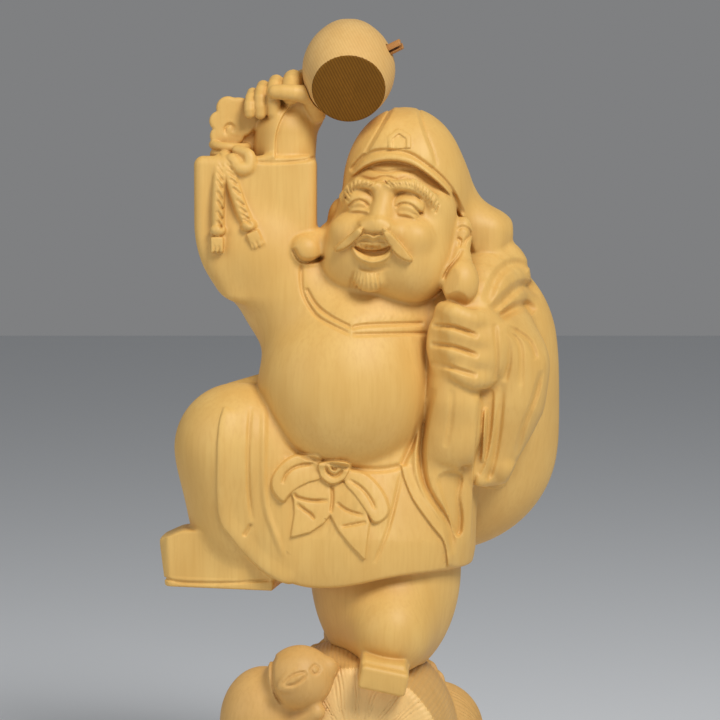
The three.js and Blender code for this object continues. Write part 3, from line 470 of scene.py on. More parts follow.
def drawn(base, strokes, back=0):
    """The base with strokes on its front, as far back as a depth."""

    def distance(points, box, reach):
        d = base.distance(points, box, reach + STROKE_REACH)
        chosen = np.flatnonzero((np.abs(d) < reach + STROKE_REACH) & (points[:, 1] < back))
        if not len(chosen):
            return d
        front = points[chosen]
        at = seen(front)
        low, high = at.min(0), at.max(0)
        sink, lift = np.zeros((2, len(chosen)), FLOAT)
        for stroke in strokes:
            if (stroke.low > high).any() or (stroke.high < low).any():
                continue
            under = np.flatnonzero(((at >= stroke.low) & (at <= stroke.high)).all(1))
            if not len(under):
                continue
            change = stroke.change(at[under])
            sink[under] = np.maximum(sink[under], change)
            lift[under] = np.maximum(lift[under], -change)
        d[chosen] += (sink - lift) * np.clip((back - front[:, 1]) / BACK_FADE, 0, 1)
        return d

    return base.changed(distance, STROKE_RISE)


# Meshing: surface nets, in blocks of coarse cells that are split into fine ones where the surface is near

COARSE = 0.8
BLOCK = 6
BLOCK_SIZE = BLOCK * COARSE
BAND = 1.15
MOST_MOVE = 0.6
LEAST_SLOPE = 0.2


def lattice(counts):
    return np.stack(np.meshgrid(*(np.arange(n) for n in counts), indexing="ij"), -1).reshape(-1, 3)


CORNERS = lattice([2, 2, 2])
CELL_EDGES = [(i, i + far) for far in (1, 2, 4) for i in range(8) if not i & far]


def at_corner(corner, count):
    """The part of a grid that holds this corner of each of its cells."""
    return tuple(slice(a, a + count) for a in corner)


def cells_near(field, low, box):
    """Which coarse cells of a block lie within the band."""
    shape = [BLOCK + 1] * 3
    d = field.distance((low + lattice(shape) * COARSE).astype(FLOAT), box, BAND).reshape(shape)
    near = np.full([BLOCK] * 3, np.inf, FLOAT)
    for corner in CORNERS:
        near = np.minimum(near, np.abs(d[at_corner(corner, BLOCK)]))
    return near < BAND


def fine_values(field, low, box, active, steps):
    """The field on the fine grid in the active coarse cells, and which fine cells those are."""
    count = BLOCK * steps
    inside = active.repeat(steps, 0).repeat(steps, 1).repeat(steps, 2)
    wanted = np.zeros([count + 1] * 3, bool)
    for corner in CORNERS:
        wanted[at_corner(corner, count)] |= inside
    fine = COARSE / steps
    values = np.full([count + 1] * 3, BAND, FLOAT)
    values[wanted] = field.distance((low + np.argwhere(wanted) * fine).astype(FLOAT), box, BAND / 2)
    return values, inside


def cells_crossed(values, inside):
    """The fine cells that the surface passes through."""
    total = np.zeros(inside.shape, np.int8)
    for corner in CORNERS:
        total += values[at_corner(corner, len(inside))] < 0
    return np.argwhere((total > 0) & (total < 8) & inside)


def middle_of_crossings(at):
    """The mean place, inside each cell, of the points where the surface crosses its edges."""
    place_sum = np.zeros((len(at[0]), 3))
    crossed = np.zeros(len(at[0]))
    for i, j in CELL_EDGES:
        change = (at[i] < 0) != (at[j] < 0)
        share = np.where(change, at[i] / np.where(change, at[i] - at[j], 1), 0)
        place_sum += np.where(change[:, None], CORNERS[i] + share[:, None] * (CORNERS[j] - CORNERS[i]), 0)
        crossed += change
    return place_sum / crossed[:, None]


def slope_in(at, fine):
    """The field's slope in each cell, from its corners."""
    across = at[4] + at[5] + at[6] + at[7] - at[0] - at[1] - at[2] - at[3]
    along = at[2] + at[3] + at[6] + at[7] - at[0] - at[1] - at[4] - at[5]
    up = at[1] + at[3] + at[5] + at[7] - at[0] - at[2] - at[4] - at[6]
    return np.stack([across, along, up], 1) / (4 * fine)


def net_in_block(field, origin, block, steps):
    """The surface's cells in a block: their places on the fine grid, corner signs and vertices.

    Each vertex moves once along the field's slope, to lie closer to the surface.
    """
    low = origin + block * BLOCK_SIZE
    box = (low + BLOCK_SIZE / 2, np.full(3, BLOCK_SIZE / 2))
    if field.apart(box) > 0:
        return None
    active = cells_near(field, low, box)
    if not active.any():
        return None
    values, inside = fine_values(field, low, box, active, steps)
    cells = cells_crossed(values, inside)
    if not len(cells):
        return None
    at = [values[tuple((cells + corner).T)] for corner in CORNERS]
    fine = COARSE / steps
    vertex = low + (cells + middle_of_crossings(at)) * fine
    slope = slope_in(at, fine)
    off = field.distance(vertex.astype(FLOAT), box, BAND / 2)
    move = -(off / np.maximum((slope**2).sum(1), LEAST_SLOPE))[:, None] * slope
    vertex += np.clip(move, -MOST_MOVE * fine, MOST_MOVE * fine)
    signs = np.stack([at[0] < 0, at[4] < 0, at[2] < 0, at[1] < 0], 1)
    return cells + block * BLOCK * steps, signs, vertex


def in_parallel(work, jobs):
    with ThreadPoolExecutor(4) as pool:
        return [found for found in pool.map(work, jobs) if found is not None]


def surface(field, steps):
    """The quads of a field's surface, each vertex once."""
    low = field.middle - field.half - COARSE
    high = field.middle + field.half + COARSE
    blocks = lattice(np.ceil((high - low) / BLOCK_SIZE).astype(int))
    found = in_parallel(lambda block: net_in_block(field, low, block, steps), blocks)
    cells, signs, vertices = (np.concatenate(part) for part in zip(*found))
    stride = int(cells.max()) + 3
    key = ((cells[:, 0] + 1) * stride + cells[:, 1] + 1) * stride + cells[:, 2] + 1
    order = np.argsort(key)
    key, cells, signs, vertices = key[order], cells[order], signs[order], vertices[order]
    steps_of = [stride * stride, stride, 1]
    quads = []
    for axis in range(3):
        one, two = steps_of[(axis + 1) % 3], steps_of[(axis + 2) % 3]
        crossing = np.flatnonzero(signs[:, 0] != signs[:, axis + 1])
        around = np.stack([key[crossing] - shift for shift in (0, one, one + two, two)], 1)
        index = np.minimum(np.searchsorted(key, around), len(key) - 1)
        whole = (key[index] == around).all(1)
        index = index[whole]
        outward = signs[crossing[whole], 0]
        index[~outward] = index[~outward][:, ::-1]
        quads.append(index)
    return vertices, np.concatenate(quads)


def sampled(field, points, reach):
    """A field's distance at many points, taken block by block."""
    blocks = np.floor(points / BLOCK_SIZE).astype(int)
    _, which = np.unique(blocks, axis=0, return_inverse=True)
    order = np.argsort(which.ravel(), kind="stable")
    groups = np.split(order, np.flatnonzero(np.diff(which.ravel()[order])) + 1)
    values = np.zeros(len(points), FLOAT)

    def work(group):
        low, high = points[group].min(0), points[group].max(0)
        box = ((low + high) / 2, (high - low) / 2)
        values[group] = field.distance(points[group].astype(FLOAT), box, reach)

    in_parallel(work, groups)
    return values


# Lines and outlines of the carving, as the eye sees them, in modules across and up from under the foot

CAP_BAND_TOP = [
    (0.1, 88.9), (2.5, 91.6), (5.7, 92.5), (9.6, 92.1),
    (12.5, 90.5), (15.4, 88.1), (17.7, 85.2), (19.4, 81.3),
]
CAP_BAND = [
    (0.2, 87.9), (2.7, 90.4), (6.5, 91.4), (10.5, 90.8),
    (13.4, 88.9), (16.5, 86.1), (18.4, 83), (19.2, 80.8),
]
CAP_SEAMS = [
    [(7.4, 100.4), (6.5, 98.6), (5, 96), (3.6, 93.6), (2.5, 91.8)],
    [(14.9, 89.8), (14.1, 92.4), (13, 95.2), (12.2, 97.6), (11.6, 100)],
]
CAP_MARK = [(6.6, 92.9), (6.5, 94.9), (8.3, 96.2), (10.3, 95.1), (10.3, 93.1)]
CAP_MARK_INSIDE = [(7.4, 92.7), (7.3, 94.5), (8.4, 95.3), (9.5, 94.5), (9.5, 92.9)]
WRINKLES = [
    [(3, 89.6), (6, 88.8), (8.7, 89.2), (11.4, 88.9)],
    [(1.2, 88.2), (3.8, 87.4), (6, 88), (8.1, 87.4), (9.9, 88)],
]
BROWS = [
    [(-0.7, 84.4), (0, 85.8), (1.2, 86.7), (2.6, 87), (4.1, 86.7)],
    [(6.2, 86.8), (8.1, 87.2), (10.1, 87), (12, 86), (13.7, 84.4), (15.2, 82.2)],
]
LID_CREASES = [
    [(-0.9, 83.4), (-0.3, 85.1), (1.2, 86), (2.7, 85.8), (3.7, 84.7), (3.9, 83.5)],
    [(7.4, 83), (7.7, 84.4), (8.9, 85.4), (10.5, 85.5), (11.7, 84.6), (12.5, 82.7)],
]
SLITS = [
    [(-0.3, 82.8), (0.5, 83.6), (1.5, 84), (2.5, 83.7), (3.3, 82.9)],
    [(7.8, 82.6), (8.6, 83.3), (9.7, 83.4), (10.7, 83), (11.5, 82.3), (12.6, 81.4)],
]
UNDER_LIDS = [
    [(-0.3, 82.2), (1.5, 82.3), (3.3, 82)],
    [(8.1, 81.7), (9.8, 81.6), (11.5, 80.8)],
]
NOSE = [[(1.4, 80.2), (1.8, 79), (2.9, 78.5), (4.3, 78.3), (5.8, 78.5), (6.9, 79), (7.3, 80.2)]]
NOSTRILS = [
    [(2, 79.8), (2.9, 80.5), (4, 80.3), (4, 78.8), (2.8, 78.7)],
    [(4.4, 80.4), (5.5, 80.6), (6.4, 80.2), (6.8, 79.4), (6.1, 78.9), (4.6, 78.8)],
]
MOUSTACHE = [
    [(1.7, 79.3), (0.2, 78.1), (-1.5, 76.6), (-2.5, 75.5), (-1, 75.9), (0.5, 77), (1.9, 78.5)],
    [
        (5.7, 79.1), (6.7, 78.4), (8.4, 76.6), (9.8, 74.8),
        (10.5, 73.7), (8.9, 74.2), (7.4, 75.6), (6.2, 77.5),
    ],
]
UPPER_LIP = [[(0.8, 76.8), (2.1, 77.8), (3.2, 78), (4, 77.5), (5, 77.9), (6.2, 77.5), (7.1, 76.5)]]
TEETH = [
    (1.2, 76.6), (2.7, 76.7), (3.9, 76.4), (5.1, 76.6),
    (6.8, 76.3), (6.5, 75.7), (3.9, 75.5), (1.5, 75.8),
]
TEETH_LINE = [(1.8, 76.2), (4.1, 76), (6.3, 76.2)]
MOUTH = [
    (0.9, 75.9), (2.4, 75.4), (3.9, 75.2), (5.4, 75.4), (6.9, 76),
    (6, 75.1), (5.1, 74.7), (3.7, 74.5), (2.3, 74.9),
]
LOWER_LIP = [[(0.4, 76), (1.2, 74.5), (2.7, 73.6), (4.2, 73.4), (6, 74), (7.3, 75.6)]]
CHIN = [[(1.4, 72.6), (3.9, 72), (7, 72.8)]]
BEARD = [(0.3, 70.4), (2.4, 70), (5, 70.3)]
EARS = [
    [(18.4, 78.8), (19.2, 79.4), (20.3, 79), (20.5, 78), (19.8, 77.1), (19.3, 75.8)],
    [(18.3, 77.5), (19, 77), (18.7, 75.8)],
    [(19.3, 75.6), (18.4, 74), (16.8, 72), (16, 70.3)],
    [(-3.9, 82), (-4.8, 80.8), (-5.3, 79.2)],
]
LOBE_CREASE = [[(-9.7, 75.8), (-9, 74.3), (-7.8, 73.5), (-5.9, 73.7), (-4.2, 74.5)]]
COLLAR = [
    [(-8.3, 73.2), (-8.4, 70.5), (-8, 67.9), (-6.7, 65.4), (-4.9, 63.5), (0.2, 60.9)],
    [(0.2, 60.9), (8.6, 61.1), (13.6, 61.2)],
    [(-7.6, 69), (-5.9, 66.1), (-3.3, 64), (0.3, 62.1)],
    [(0.3, 62.1), (3, 62.6), (12.7, 62.9)],
]
BELLY = [
    [
        (-14.8, 51.6), (-13.6, 47.4), (-11.6, 43.7), (-8.6, 40.7),
        (-4.7, 39.3), (0.7, 38), (5.6, 37.8), (8.9, 38.5),
    ],
    [(8.9, 38.5), (9.8, 40.5), (11.8, 44.8), (13.4, 49.5), (13.6, 54.2)],
]
ROBE_HEM = [[(8.9, 38.5), (9.5, 36.1), (11.1, 32.5), (14.2, 28.2), (16.3, 25.3), (16.9, 21)]]
ROBE_FOLD = [
    (14.2, 52), (12.9, 46.9), (12.2, 41.2), (12.6, 36.5),
    (13.8, 33.2), (16, 30), (17.2, 26.7), (17.4, 23.1),
]
ROBE_ROLL = [
    (13.8, 51.3), (12.3, 45.9), (11.3, 40.5),
    (11.8, 36.1), (14.3, 31.6), (16.8, 27.2), (17.2, 22.6),
]
NECK_FOLDS = [[(17.6, 51.6), (17.2, 45.9), (16.3, 41.5)]]
NECK_END = [[(12.9, 38.9), (14.3, 36.7), (16.4, 36.1), (18.4, 36.7), (19.6, 38)]]
RECESS = [(15.7, 36.3), (16.3, 33.6), (17.2, 30.4), (18.4, 27), (18.7, 30), (18.3, 33.2), (18.6, 36.6)]
ROBE_EDGE = [[(20.7, 24.9), (20.9, 34.7), (21.2, 40.4), (21.7, 45.9), (22.1, 50.5)]]
SLEEVE_MOUTH = [(22.3, 50.3), (24.3, 51), (24.2, 46), (23.6, 41.5), (22.8, 38.4), (22, 37.4), (21.8, 42)]
SLEEVE_LINING = [[(23.3, 48.6), (23, 43.1), (22.7, 38.9)]]
SLEEVE_LIP = [[(24.9, 51.3), (24.6, 45.9), (24, 41.5), (23.1, 38.3), (22.2, 36.6)]]
SLEEVE_SEAMS = [
    [(26.2, 52.7), (25.6, 45), (24.6, 39), (23.4, 35.8)],
    [(32.8, 54.9), (31.7, 50.3), (29.8, 45.3), (28.5, 40.3)],
    [(25.8, 61.4), (27, 59.5), (27.2, 56.1), (26.5, 52.8)],
    [(26.5, 61.9), (28.7, 60), (29.4, 57.1), (29.2, 52)],
    [(27, 62.4), (30.6, 59.9), (32, 56.6)],
]
SLEEVE_HEM = [[(21.2, 35.4), (23.2, 34.9), (25.4, 34.7), (26.6, 35.5), (28.4, 39.2)]]
SLEEVE_FOLDS = [
    [(23.3, 66.4), (24, 68.3), (25.1, 70.9), (26.8, 72.6), (28.6, 73.1), (30.7, 72.2)],
    [(23.6, 64.2), (25.3, 66), (27.7, 68.3), (29.6, 69.4), (31.4, 68.8), (33.1, 67.5)],
    [(24.6, 63.1), (26.8, 64.6), (28.6, 65.5), (30.2, 65.9), (31.6, 64.6)],
]
HAND_LINES = [
    [(14, 62.5), (17.2, 62.3), (19.6, 61.6), (22.1, 60.6)],
    [(13.7, 59.3), (16.7, 59), (19.6, 58.2), (22.1, 57.2)],
    [(13.6, 56.2), (16.7, 55.5), (19.1, 54.7), (21.9, 53.8)],
]
WRIST = [[(24.8, 62.9), (25, 60), (25.2, 56.6), (24.9, 53)]]
SLEEVE_RIM = [[(-16.7, 90.7), (-13.7, 90.4), (-8.6, 90.7), (-5.8, 91.4)]]
FIST_HEEL = [[(-13, 90.9), (-12.9, 95), (-11.7, 98.5), (-9.6, 101)]]
PANELS = [
    [(-17, 48.7), (-17.4, 43.6), (-17.5, 38.5), (-17.3, 33.4), (-16.7, 28.9)],
    [(-16.9, 28.5), (-18.3, 26.3)],
    [(8.8, 37.3), (7.5, 31.4), (6, 26.1), (4.1, 21.6)],
]
PANEL_RIDGES = [[(-14.8, 49.2), (-14.8, 43.6), (-14.9, 36.3), (-14.4, 31.2), (-13.1, 27.2), (-11.3, 22.6)]]
KNEE_HEM = [
    (-21.4, 48.7), (-22.3, 45.9), (-22.7, 40.2), (-22.5, 30.1),
    (-20.2, 26.1), (-16.8, 22.2), (-13.4, 19.3), (-10, 17.9),
]
SOLE = [[(-31.9, 19.3), (-28.7, 18.5), (-20, 18.4), (-13.8, 18.9)]]
BOW_LOOPS = [
    [
        (-5.1, 39.5), (-7.2, 40.1), (-9.5, 39.9), (-11.6, 38.5), (-13.1, 36.3), (-13, 34.3),
        (-11.6, 32.6), (-10.9, 33.3), (-9.5, 34.6), (-7.2, 35.8), (-5.1, 36.6),
    ],
    [
        (-0.5, 37.6), (1.8, 37.2), (3.8, 35.8), (5.6, 33.4), (6.4, 30.9), (5.6, 29.5),
        (4.3, 29), (3.4, 30.1), (2.1, 32), (0.7, 33.9), (-0.7, 35.5),
    ],
]
BOW_TAILS = [
    [
        (-5, 36.3), (-7.8, 35.1), (-9.9, 33.9), (-9.5, 32.6), (-9.4, 30.1), (-10, 26.4),
        (-6.9, 27.2), (-4.7, 28.7), (-3.4, 30.3), (-3.1, 35.4),
    ],
    [
        (-3, 35.4), (-3, 32.3), (-3.3, 30.2), (-1.9, 27.5), (0.2, 24.9), (2.4, 22.6),
        (2.7, 25.5), (3.2, 28.7), (2.4, 31.6), (1.2, 33.6), (-0.5, 35.4),
    ],
]
BOW_KNOT = [
    (-5.2, 38.8), (-2.7, 39), (-0.3, 38.6), (-0.5, 37.3),
    (-1.3, 36.2), (-3, 35.5), (-4.5, 36.3), (-5.1, 37.3),
]
BOW_LINES = [
    [(-11.6, 35.3), (-10.9, 37.1), (-9, 38.4), (-6.1, 38.8)],
    [(-0.3, 36.1), (1.8, 34.8), (3.4, 32.9), (4.3, 30.9)],
    [(-9.6, 33.9), (-9.1, 33.1), (-6.7, 32.5), (-3.6, 32.5)],
    [(-9.2, 32), (-7.8, 30.9), (-6.7, 30.1), (-6.1, 29.2)],
    [(-2.4, 32.2), (-0.5, 30.8), (2.4, 29.9)],
    [(-1.6, 28), (0.7, 28.4), (2.8, 28.8)],
    [(-3.1, 35.4), (-3, 32.6), (-3.3, 30.3)],
    [(-4.2, 38.6), (-3.8, 37.4), (-2.7, 36.7), (-1.6, 37.3), (-1.2, 38.4)],
    [(-3.4, 38.6), (-2.7, 37.9), (-2, 38.6)],
]
CORDS = [
    [(-22.1, 91.3), (-22.3, 88.3), (-22.3, 84), (-22.3, 79.2)],
    [(-21.1, 90.9), (-20.1, 87.5), (-18.5, 82.8), (-17.5, 80)],
]
TASSELS = [[(-23.2, 75.4), (-22.4, 75.4), (-21.5, 75.4)], [(-16.6, 76), (-15.8, 76.3), (-15, 76.7)]]
POMMEL_ARCH = [[(-21.3, 95.2), (-21.4, 96.4), (-20.7, 97), (-20, 96.6), (-20, 95.7)]]
MOUSE_LINES = [
    [(-11.6, 0.7), (-10.3, 2.2), (-8.6, 2.9), (-7.4, 2.9)],
    [(-11.3, 0.7), (-9.6, 0.9), (-8.1, 1.9), (-7.4, 2.9)],
    [(-12.7, 6), (-13.4, 3.8), (-13, 0), (-11.5, -2.7)],
]
MOUSE_EYE = [(-6.8, 3.5), (-6, 4.3), (-5.2, 3.5), (-6, 2.7), (-6.8, 3.5)]


# The parts of the figure, in modules: x to its left, y to its back and z up


def lobe_facets(x, y, z):
    """The big ear lobe is cut flat in front and below."""
    front = -0.5 * (x - 13.6) - 0.86 * (y + 4.4) - 2.4
    below = -0.6 * (y + 4.4) - 0.8 * (z + 8.8) - 2.9
    return np.maximum(front, below)


def head():
    skull = blend(
        3,
        egg([0, -2, -4.2], [10.8, 9.6, 8.8]),
        egg([0, 0.5, 3], [9.6, 10.2, 10.6]),
        egg([-4.8, -3.4, -6.8], [6.1, 5.8, 5.8]),
        egg([4.8, -3.4, -6.8], [6.1, 5.8, 5.8]),
        egg([8.2, -2.8, 1.8], [2.6, 3.8, 4.6]),
    )
    brows = [
        strand(points, [0.9, 1.2, 1, 0.8], 2)
        for points in (
            [[-7.3, -7.2, 3.4], [-4.4, -9.7, 5.6], [-1.5, -10.4, 5.4]],
            [[1.1, -10.3, 5.8], [4.8, -9.8, 6], [7.6, -7.6, 4.4], [8.9, -4.6, 2]],
        )
    ]
    cheeks = [egg([s * 5.3, -8.4, -2.4], [3.4, 2.8, 2.8]) for s in (-1, 1)]
    eyes = [egg([s * 4.1, -8.8, 2.7], [2.7, 1.9, 1.9]) for s in (-1, 1)]
    nose = blend(
        0.8,
        limb([0, -9.8, 3.4], 1.3, [0, -11.2, -1.2], 1.8),
        egg([-1.9, -11, -1.9], [1.5, 1.6, 1.2]),
        egg([1.9, -11, -1.9], [1.5, 1.6, 1.2]),
    )
    mouth = egg([-0.4, -11.9, -5.3], [3, 1.5, 0.8])
    lip = strand([[-3.6, -9.9, -5.6], [-0.4, -10.9, -7], [2.9, -10.3, -5.4]], [0.6, 0.9, 0.6], 2)
    beard = egg([-1, -8.8, -10], [2.8, 2.2, 2.3])
    ears = blend(
        0.9,
        egg([-9.9, 0, 0.2], [1.6, 2.8, 3.4]),
        egg([12.2, -1, -0.6], [1.7, 1.8, 3.2]),
        limb([-10.6, -2, -2.4], 1.6, [-12.9, -7, -6.2], 2.7),
        limb([12.2, -1.4, -2.4], 1.5, [13.2, -3.4, -6.6], 2.2),
        trim(0.2, egg([13.6, -4.4, -8.8], [3.1, 3, 3.8]), lobe_facets),
    )
    face = blend(1.6, skull, *brows, *cheeks)
    front = blend(0.7, blend(1.6, face, nose), *eyes)
    features = blend(0.9, carve(0.5, front, mouth), lip, beard)
    return blend(1.2, features, ears)


def cap():
    """The band rises over the brow and drops behind the temples."""

    def band(x, y, z):
        return 10.1 - 0.05 * (x - 1) ** 2 - 0.6 * np.maximum(y + 2, 0) - 0.9 * np.maximum(y - 2, 0) - z

    crown = blend(
        4,
        egg([0.9, 1.5, 6.5], [10.6, 11, 14], [0, -7, 0]),
        egg([2, 7.5, 5], [9.6, 8.5, 9]),
        egg([6.4, 9.5, 1.6], [12.3, 6.4, 5.4]),
        slab([12, 8.5, -1], [5.6, 4.6, 4.4], 2.2),
    )
    return trim(0.5, crown, band)


def head_with_cap():
    """The head turns to its right, bends back and leans to its left."""

    def leaning(field):
        bent = place(place(field, [0, 0, 0], [0, 0, -14]), [0, 0, 0], [-6, 0, 0])
        return place(bent, [7.4, -3, 79.7], [0, 7, 0])

    # The cap's drape ends flat, at its side and below
    drape = trim(0.5, leaning(cap()), lambda x, y, z: np.maximum(75.2 - z, x - 28))
    cap_lines = [
        *cut([CAP_BAND_TOP], 0.7, 0.55, 0.05),
        *ridge([CAP_BAND], 0.9, 0.35, 0.05),
        *step(CAP_SEAMS, 4, 0.45, 0.35),
        *cut(CAP_SEAMS, 0.5, 0.4, 0.15),
        patch(CAP_MARK, 0.25, 0.35, smooth=False),
        patch(CAP_MARK_INSIDE, 0.25, -0.3, smooth=False),
    ]
    face_lines = [
        *cut(WRINKLES, 0.6, 0.4),
        *ridge(BROWS, 1, 0.2, 0.15),
        *hatch(BROWS[0], 9, 1.9, 55, 0.35, 0.3),
        *hatch(BROWS[1], 17, 2, -55, 0.35, 0.3),
        *cut(LID_CREASES, 0.5, 0.12),
        *cut(SLITS, 0.45, 0.45, 0.2),
        *ridge(UNDER_LIDS, 0.6, 0.3),
        *cut(NOSE, 0.5, 0.3),
        *(patch(points, 1, 0.5) for points in NOSTRILS),
        *(patch(points, 0.3, 1.3) for points in MOUSTACHE),
        *ridge(UPPER_LIP, 0.6, 0.5, 0.1),
        patch(TEETH, 0.3, 0.2),
        *hatch(TEETH_LINE, 5, 0.8, 90, 0.3, 0.15),
        patch(MOUTH, 0.35, -0.8),
        *ridge(LOWER_LIP, 0.6, 0.5, 0.1),
        *cut(CHIN, 0.8, 0.3),
        *hatch(BEARD, 8, 3.6, 90, 0.45, 0.25),
        *cut(EARS, 0.5, 0.4),
        *cut(LOBE_CREASE, 0.7, 0.6, 0.15),
    ]
    return blend(0.5, drawn(leaning(head()), face_lines), drawn(drape, cap_lines, back=4))


def torso():
    return blend(
        6,
        egg([-0.8, -4.5, 52.3], [14.7, 13.5, 14.8]),
        egg([3.5, 0.5, 64], [13.8, 11, 11]),
        egg([-9, 1, 67], [9.5, 8.5, 8]),
        egg([20, 2, 65], [8.5, 8.5, 8]),
    )


def skirt():
    fall = blend(
        5,
        stretched(limb([3, 2.5, 44], 14, [2.4, -0.4, 25], 18.2), [3, 0, 34], [1, 0.86, 1]),
        egg([-11, -1.4, 36], [9.5, 9.4, 16]),
        egg([15.6, -1, 38], [6, 10, 18]),
        limb([-14.5, -4, 40], 9, [-10.5, -4.2, 24], 8.8),
    )

    def hem(x, y, z):
        return 19 + 2.8 / (1 + np.exp((3 - x) / 3)) + 0.036 * np.maximum(-5 - x, 0) ** 2 - z

    return trim(0.7, fall, hem)


def standing_leg():
    leg = blend(4, egg([6.1, 0, 21], [13, 12.3, 19.6]), egg([7, -9, 11.6], [7.2, 9, 7.6]))
    shoe = blend(
        0.6,
        slab([5.8, -10.8, 6], [4, 10.4, 2], 0.7, [7, 12, 0]),
        slab([5.7, -10.2, 7.4], [3.8, 9.2, 1.8], 0.7, [10, 9, 0]),
    )
    return blend(0.5, leg, shoe)


def raised_leg():
    thigh = blend(
        5,
        egg([-19, -4, 42], [10.9, 10.5, 11]),
        egg([-17.2, -3, 31.4], [10.4, 10, 12]),
        limb([-12, -1, 40], 10, [2, 2, 36], 12),
    )

    def facets(x, y, z):
        """The toe is cut by slanting planes, and the top falls towards it."""
        side = -0.8 * (x + 29.6) - 0.6 * (y + 9.6)
        front = -0.99 * (x + 32.4) - 0.14 * (z - 26)
        top = 0.9 * (z - 26.6) - 0.42 * (x + 32)
        return np.maximum(np.maximum(side, front), top)

    shape = blend(
        0.3,
        slab([-22.4, -4.6, 23.6], [10.4, 4.6, 4.6], 0.6, [0, 1, -9]),
        slab([-22.4, -4.7, 19.3], [10.2, 4.6, 0.8], 0.3, [0, 1, -9]),
    )
    shoe = trim(0.4, shape, facets)
    hem = limb([-20.6, 1.5, 51.4], 1.2, [-13.6, -1, 53], 1.8)
    return blend(0.8, thigh, shoe, hem)


def raised_arm():
    sleeve = blend(
        3.5,
        slab([-16, 0, 79], [10.3, 6.9, 12.5], 1.6),
        egg([-16, 0, 75.8], [8.5, 8, 8]),
        limb([-13.8, 0, 73.8], 7.5, [-2, 0, 62], 9.6),
    )
    cornered = trim(3, sleeve, lambda x, y, z: -0.84 * (x + 26.2) - 0.54 * (z - 74.6))
    mouth = slab([-15.6, 0, 92.4], [8.6, 5.3, 3], 3)
    forearm = limb([-12, 0, 82], 5.4, [-10.9, -0.5, 95.5], 5.3)
    return blend(0.6, carve(0.4, cornered, mouth), forearm)


def fist():
    palm = blend(2, egg([-10.2, 0.6, 99], [5.6, 4.6, 5.8]), egg([-7.4, 0.2, 101.6], [3.2, 4.2, 4.8]))
    fingers = [
        strand(
            [[x + 0.9, 1.8, top - 2.2], [x + 0.4, -1.8, top - 0.6], [x, -4.6, top - 2.6], [x, -4.8, tip]],
            [r, r, r, 0.9 * r],
            2,
        )
        for x, top, r, tip in [
            (-16.9, 102.7, 0.95, 98.6),
            (-15.1, 103.8, 1.1, 98.6),
            (-12.9, 104.6, 1.25, 98.8),
            (-10, 105, 1.7, 101.6),
        ]
    ]
    thumb = strand(
        [[-5.8, -2.2, 98.6], [-6.6, -5, 101.4], [-9.4, -6.5, 102], [-12.6, -6.4, 102.2]],
        [1.7, 1.6, 1.4, 1.2],
        2,
    )
    return blend(0.3, palm, *fingers, thumb)


def pommel_and_cords():
    """The handle ends in a cloud-shaped pommel, with a cord round it and two tails on the sleeve."""
    lobes = [
        disc([x, -1, z], r, 1.5, 0.6)
        for x, z, r in [
            (-19, 98, 3.4),
            (-20.7, 99.6, 2),
            (-22.2, 97.4, 1.7),
            (-22.2, 94.9, 1.6),
            (-18.6, 99.6, 1.6),
            (-20.5, 95.4, 2.6),
        ]
    ]
    web = egg([-17, 0.6, 93.8], [3, 1.8, 4.8])
    winding = blend(
        0.2,
        ring([-20.4, -1.4, 93.2], [2.8, 2.6], 0.8, [6, 5, 0]),
        ring([-20.3, -1.4, 91.7], [2.7, 2.5], 0.8, [6, 5, 0]),
        egg([-20.2, -1.4, 92], [2.8, 2.8, 1.6]),
    )
    cords = [
        [[-21.6, -4.6, 91.4], [-22, -7, 88], [-22.2, -7.6, 83], [-22.2, -7.6, 79.4]],
        [[-21, -4.8, 91.4], [-20, -7, 87.6], [-18.3, -7.6, 82.6], [-17.2, -7.7, 80.2]],
        [[-19, -5, 92.4], [-17, -6.4, 91.6], [-17, -6.9, 89.6], [-18.6, -7, 89.4], [-19.8, -6, 91]],
    ]
    beads = [egg([-22.2, -8, 79], [1.3, 1.3, 1.05]), egg([-17, -8.2, 79.8], [1.3, 1.3, 1.05])]
    tassels = [
        slab([-22.3, -7.8, 76.6], [1.05, 1.1, 1.3], 0.3),
        slab([-15.9, -8.1, 77.5], [1.05, 1.1, 1.4], 0.3, [0, -25, 0]),
    ]
    strands = [strand(points, [0.9, 1, 1.05, 0.95]) for points in cords]
    hung = blend(0.15, blend(0.4, *strands), *beads, *tassels)
    whole = blend(0.4, blend(0.4, blend(0.25, *lobes), web), winding, hung)
    twist = [stroke for path in CORDS for stroke in hatch(path, 9, 2.1, 28, 0.45, 0.4)]
    fringe = [stroke for path in TASSELS for stroke in hatch(path, 3, 1.8, 90, 0.3, 0.25)]
    return drawn(whole, [*twist, *fringe, *cut(POMMEL_ARCH, 0.5, 0.4)])


def resting_arm():
    return blend(
        4,
        limb([22, 1, 66], 8, [26.4, -1, 56], 6.3),
        egg([25.6, -2, 54], [6.4, 8, 11.5]),
        limb([27, -4, 56], 6, [24, -8.6, 60.5], 4.4),
        limb([26.4, -3, 49], 6, [24.4, -4, 39.8], 3.8),
    )


def resting_hand():
    back = egg([22.4, -10.4, 59.4], [4.4, 3.8, 6.6])
    palm = egg([18.2, -11.2, 60], [5.4, 2.6, 7])
    fingers = [
        strand(
            [[xa + 1.6, -11.5, za], [xa + 3.4, -14.3, za - 0.5], [xb - 2, -13.9, zb], [xb, -11.6, zb]],
            [1.6, 1.7, 1.75, 1.7],
            3,
        )
        for xa, za, xb, zb in [
            (14.2, 65.7, 22.2, 64.2),
            (13.9, 62.7, 22.4, 61),
            (13.8, 59.5, 22.4, 57.7),
            (14.4, 56.3, 22.2, 54.4),
        ]
    ]
    hand_lines = [*cut(HAND_LINES, 0.75, 0.6, 0.3), *cut(WRIST, 0.7, 0.4)]
    return drawn(blend(1.3, back, palm, *fingers), hand_lines)


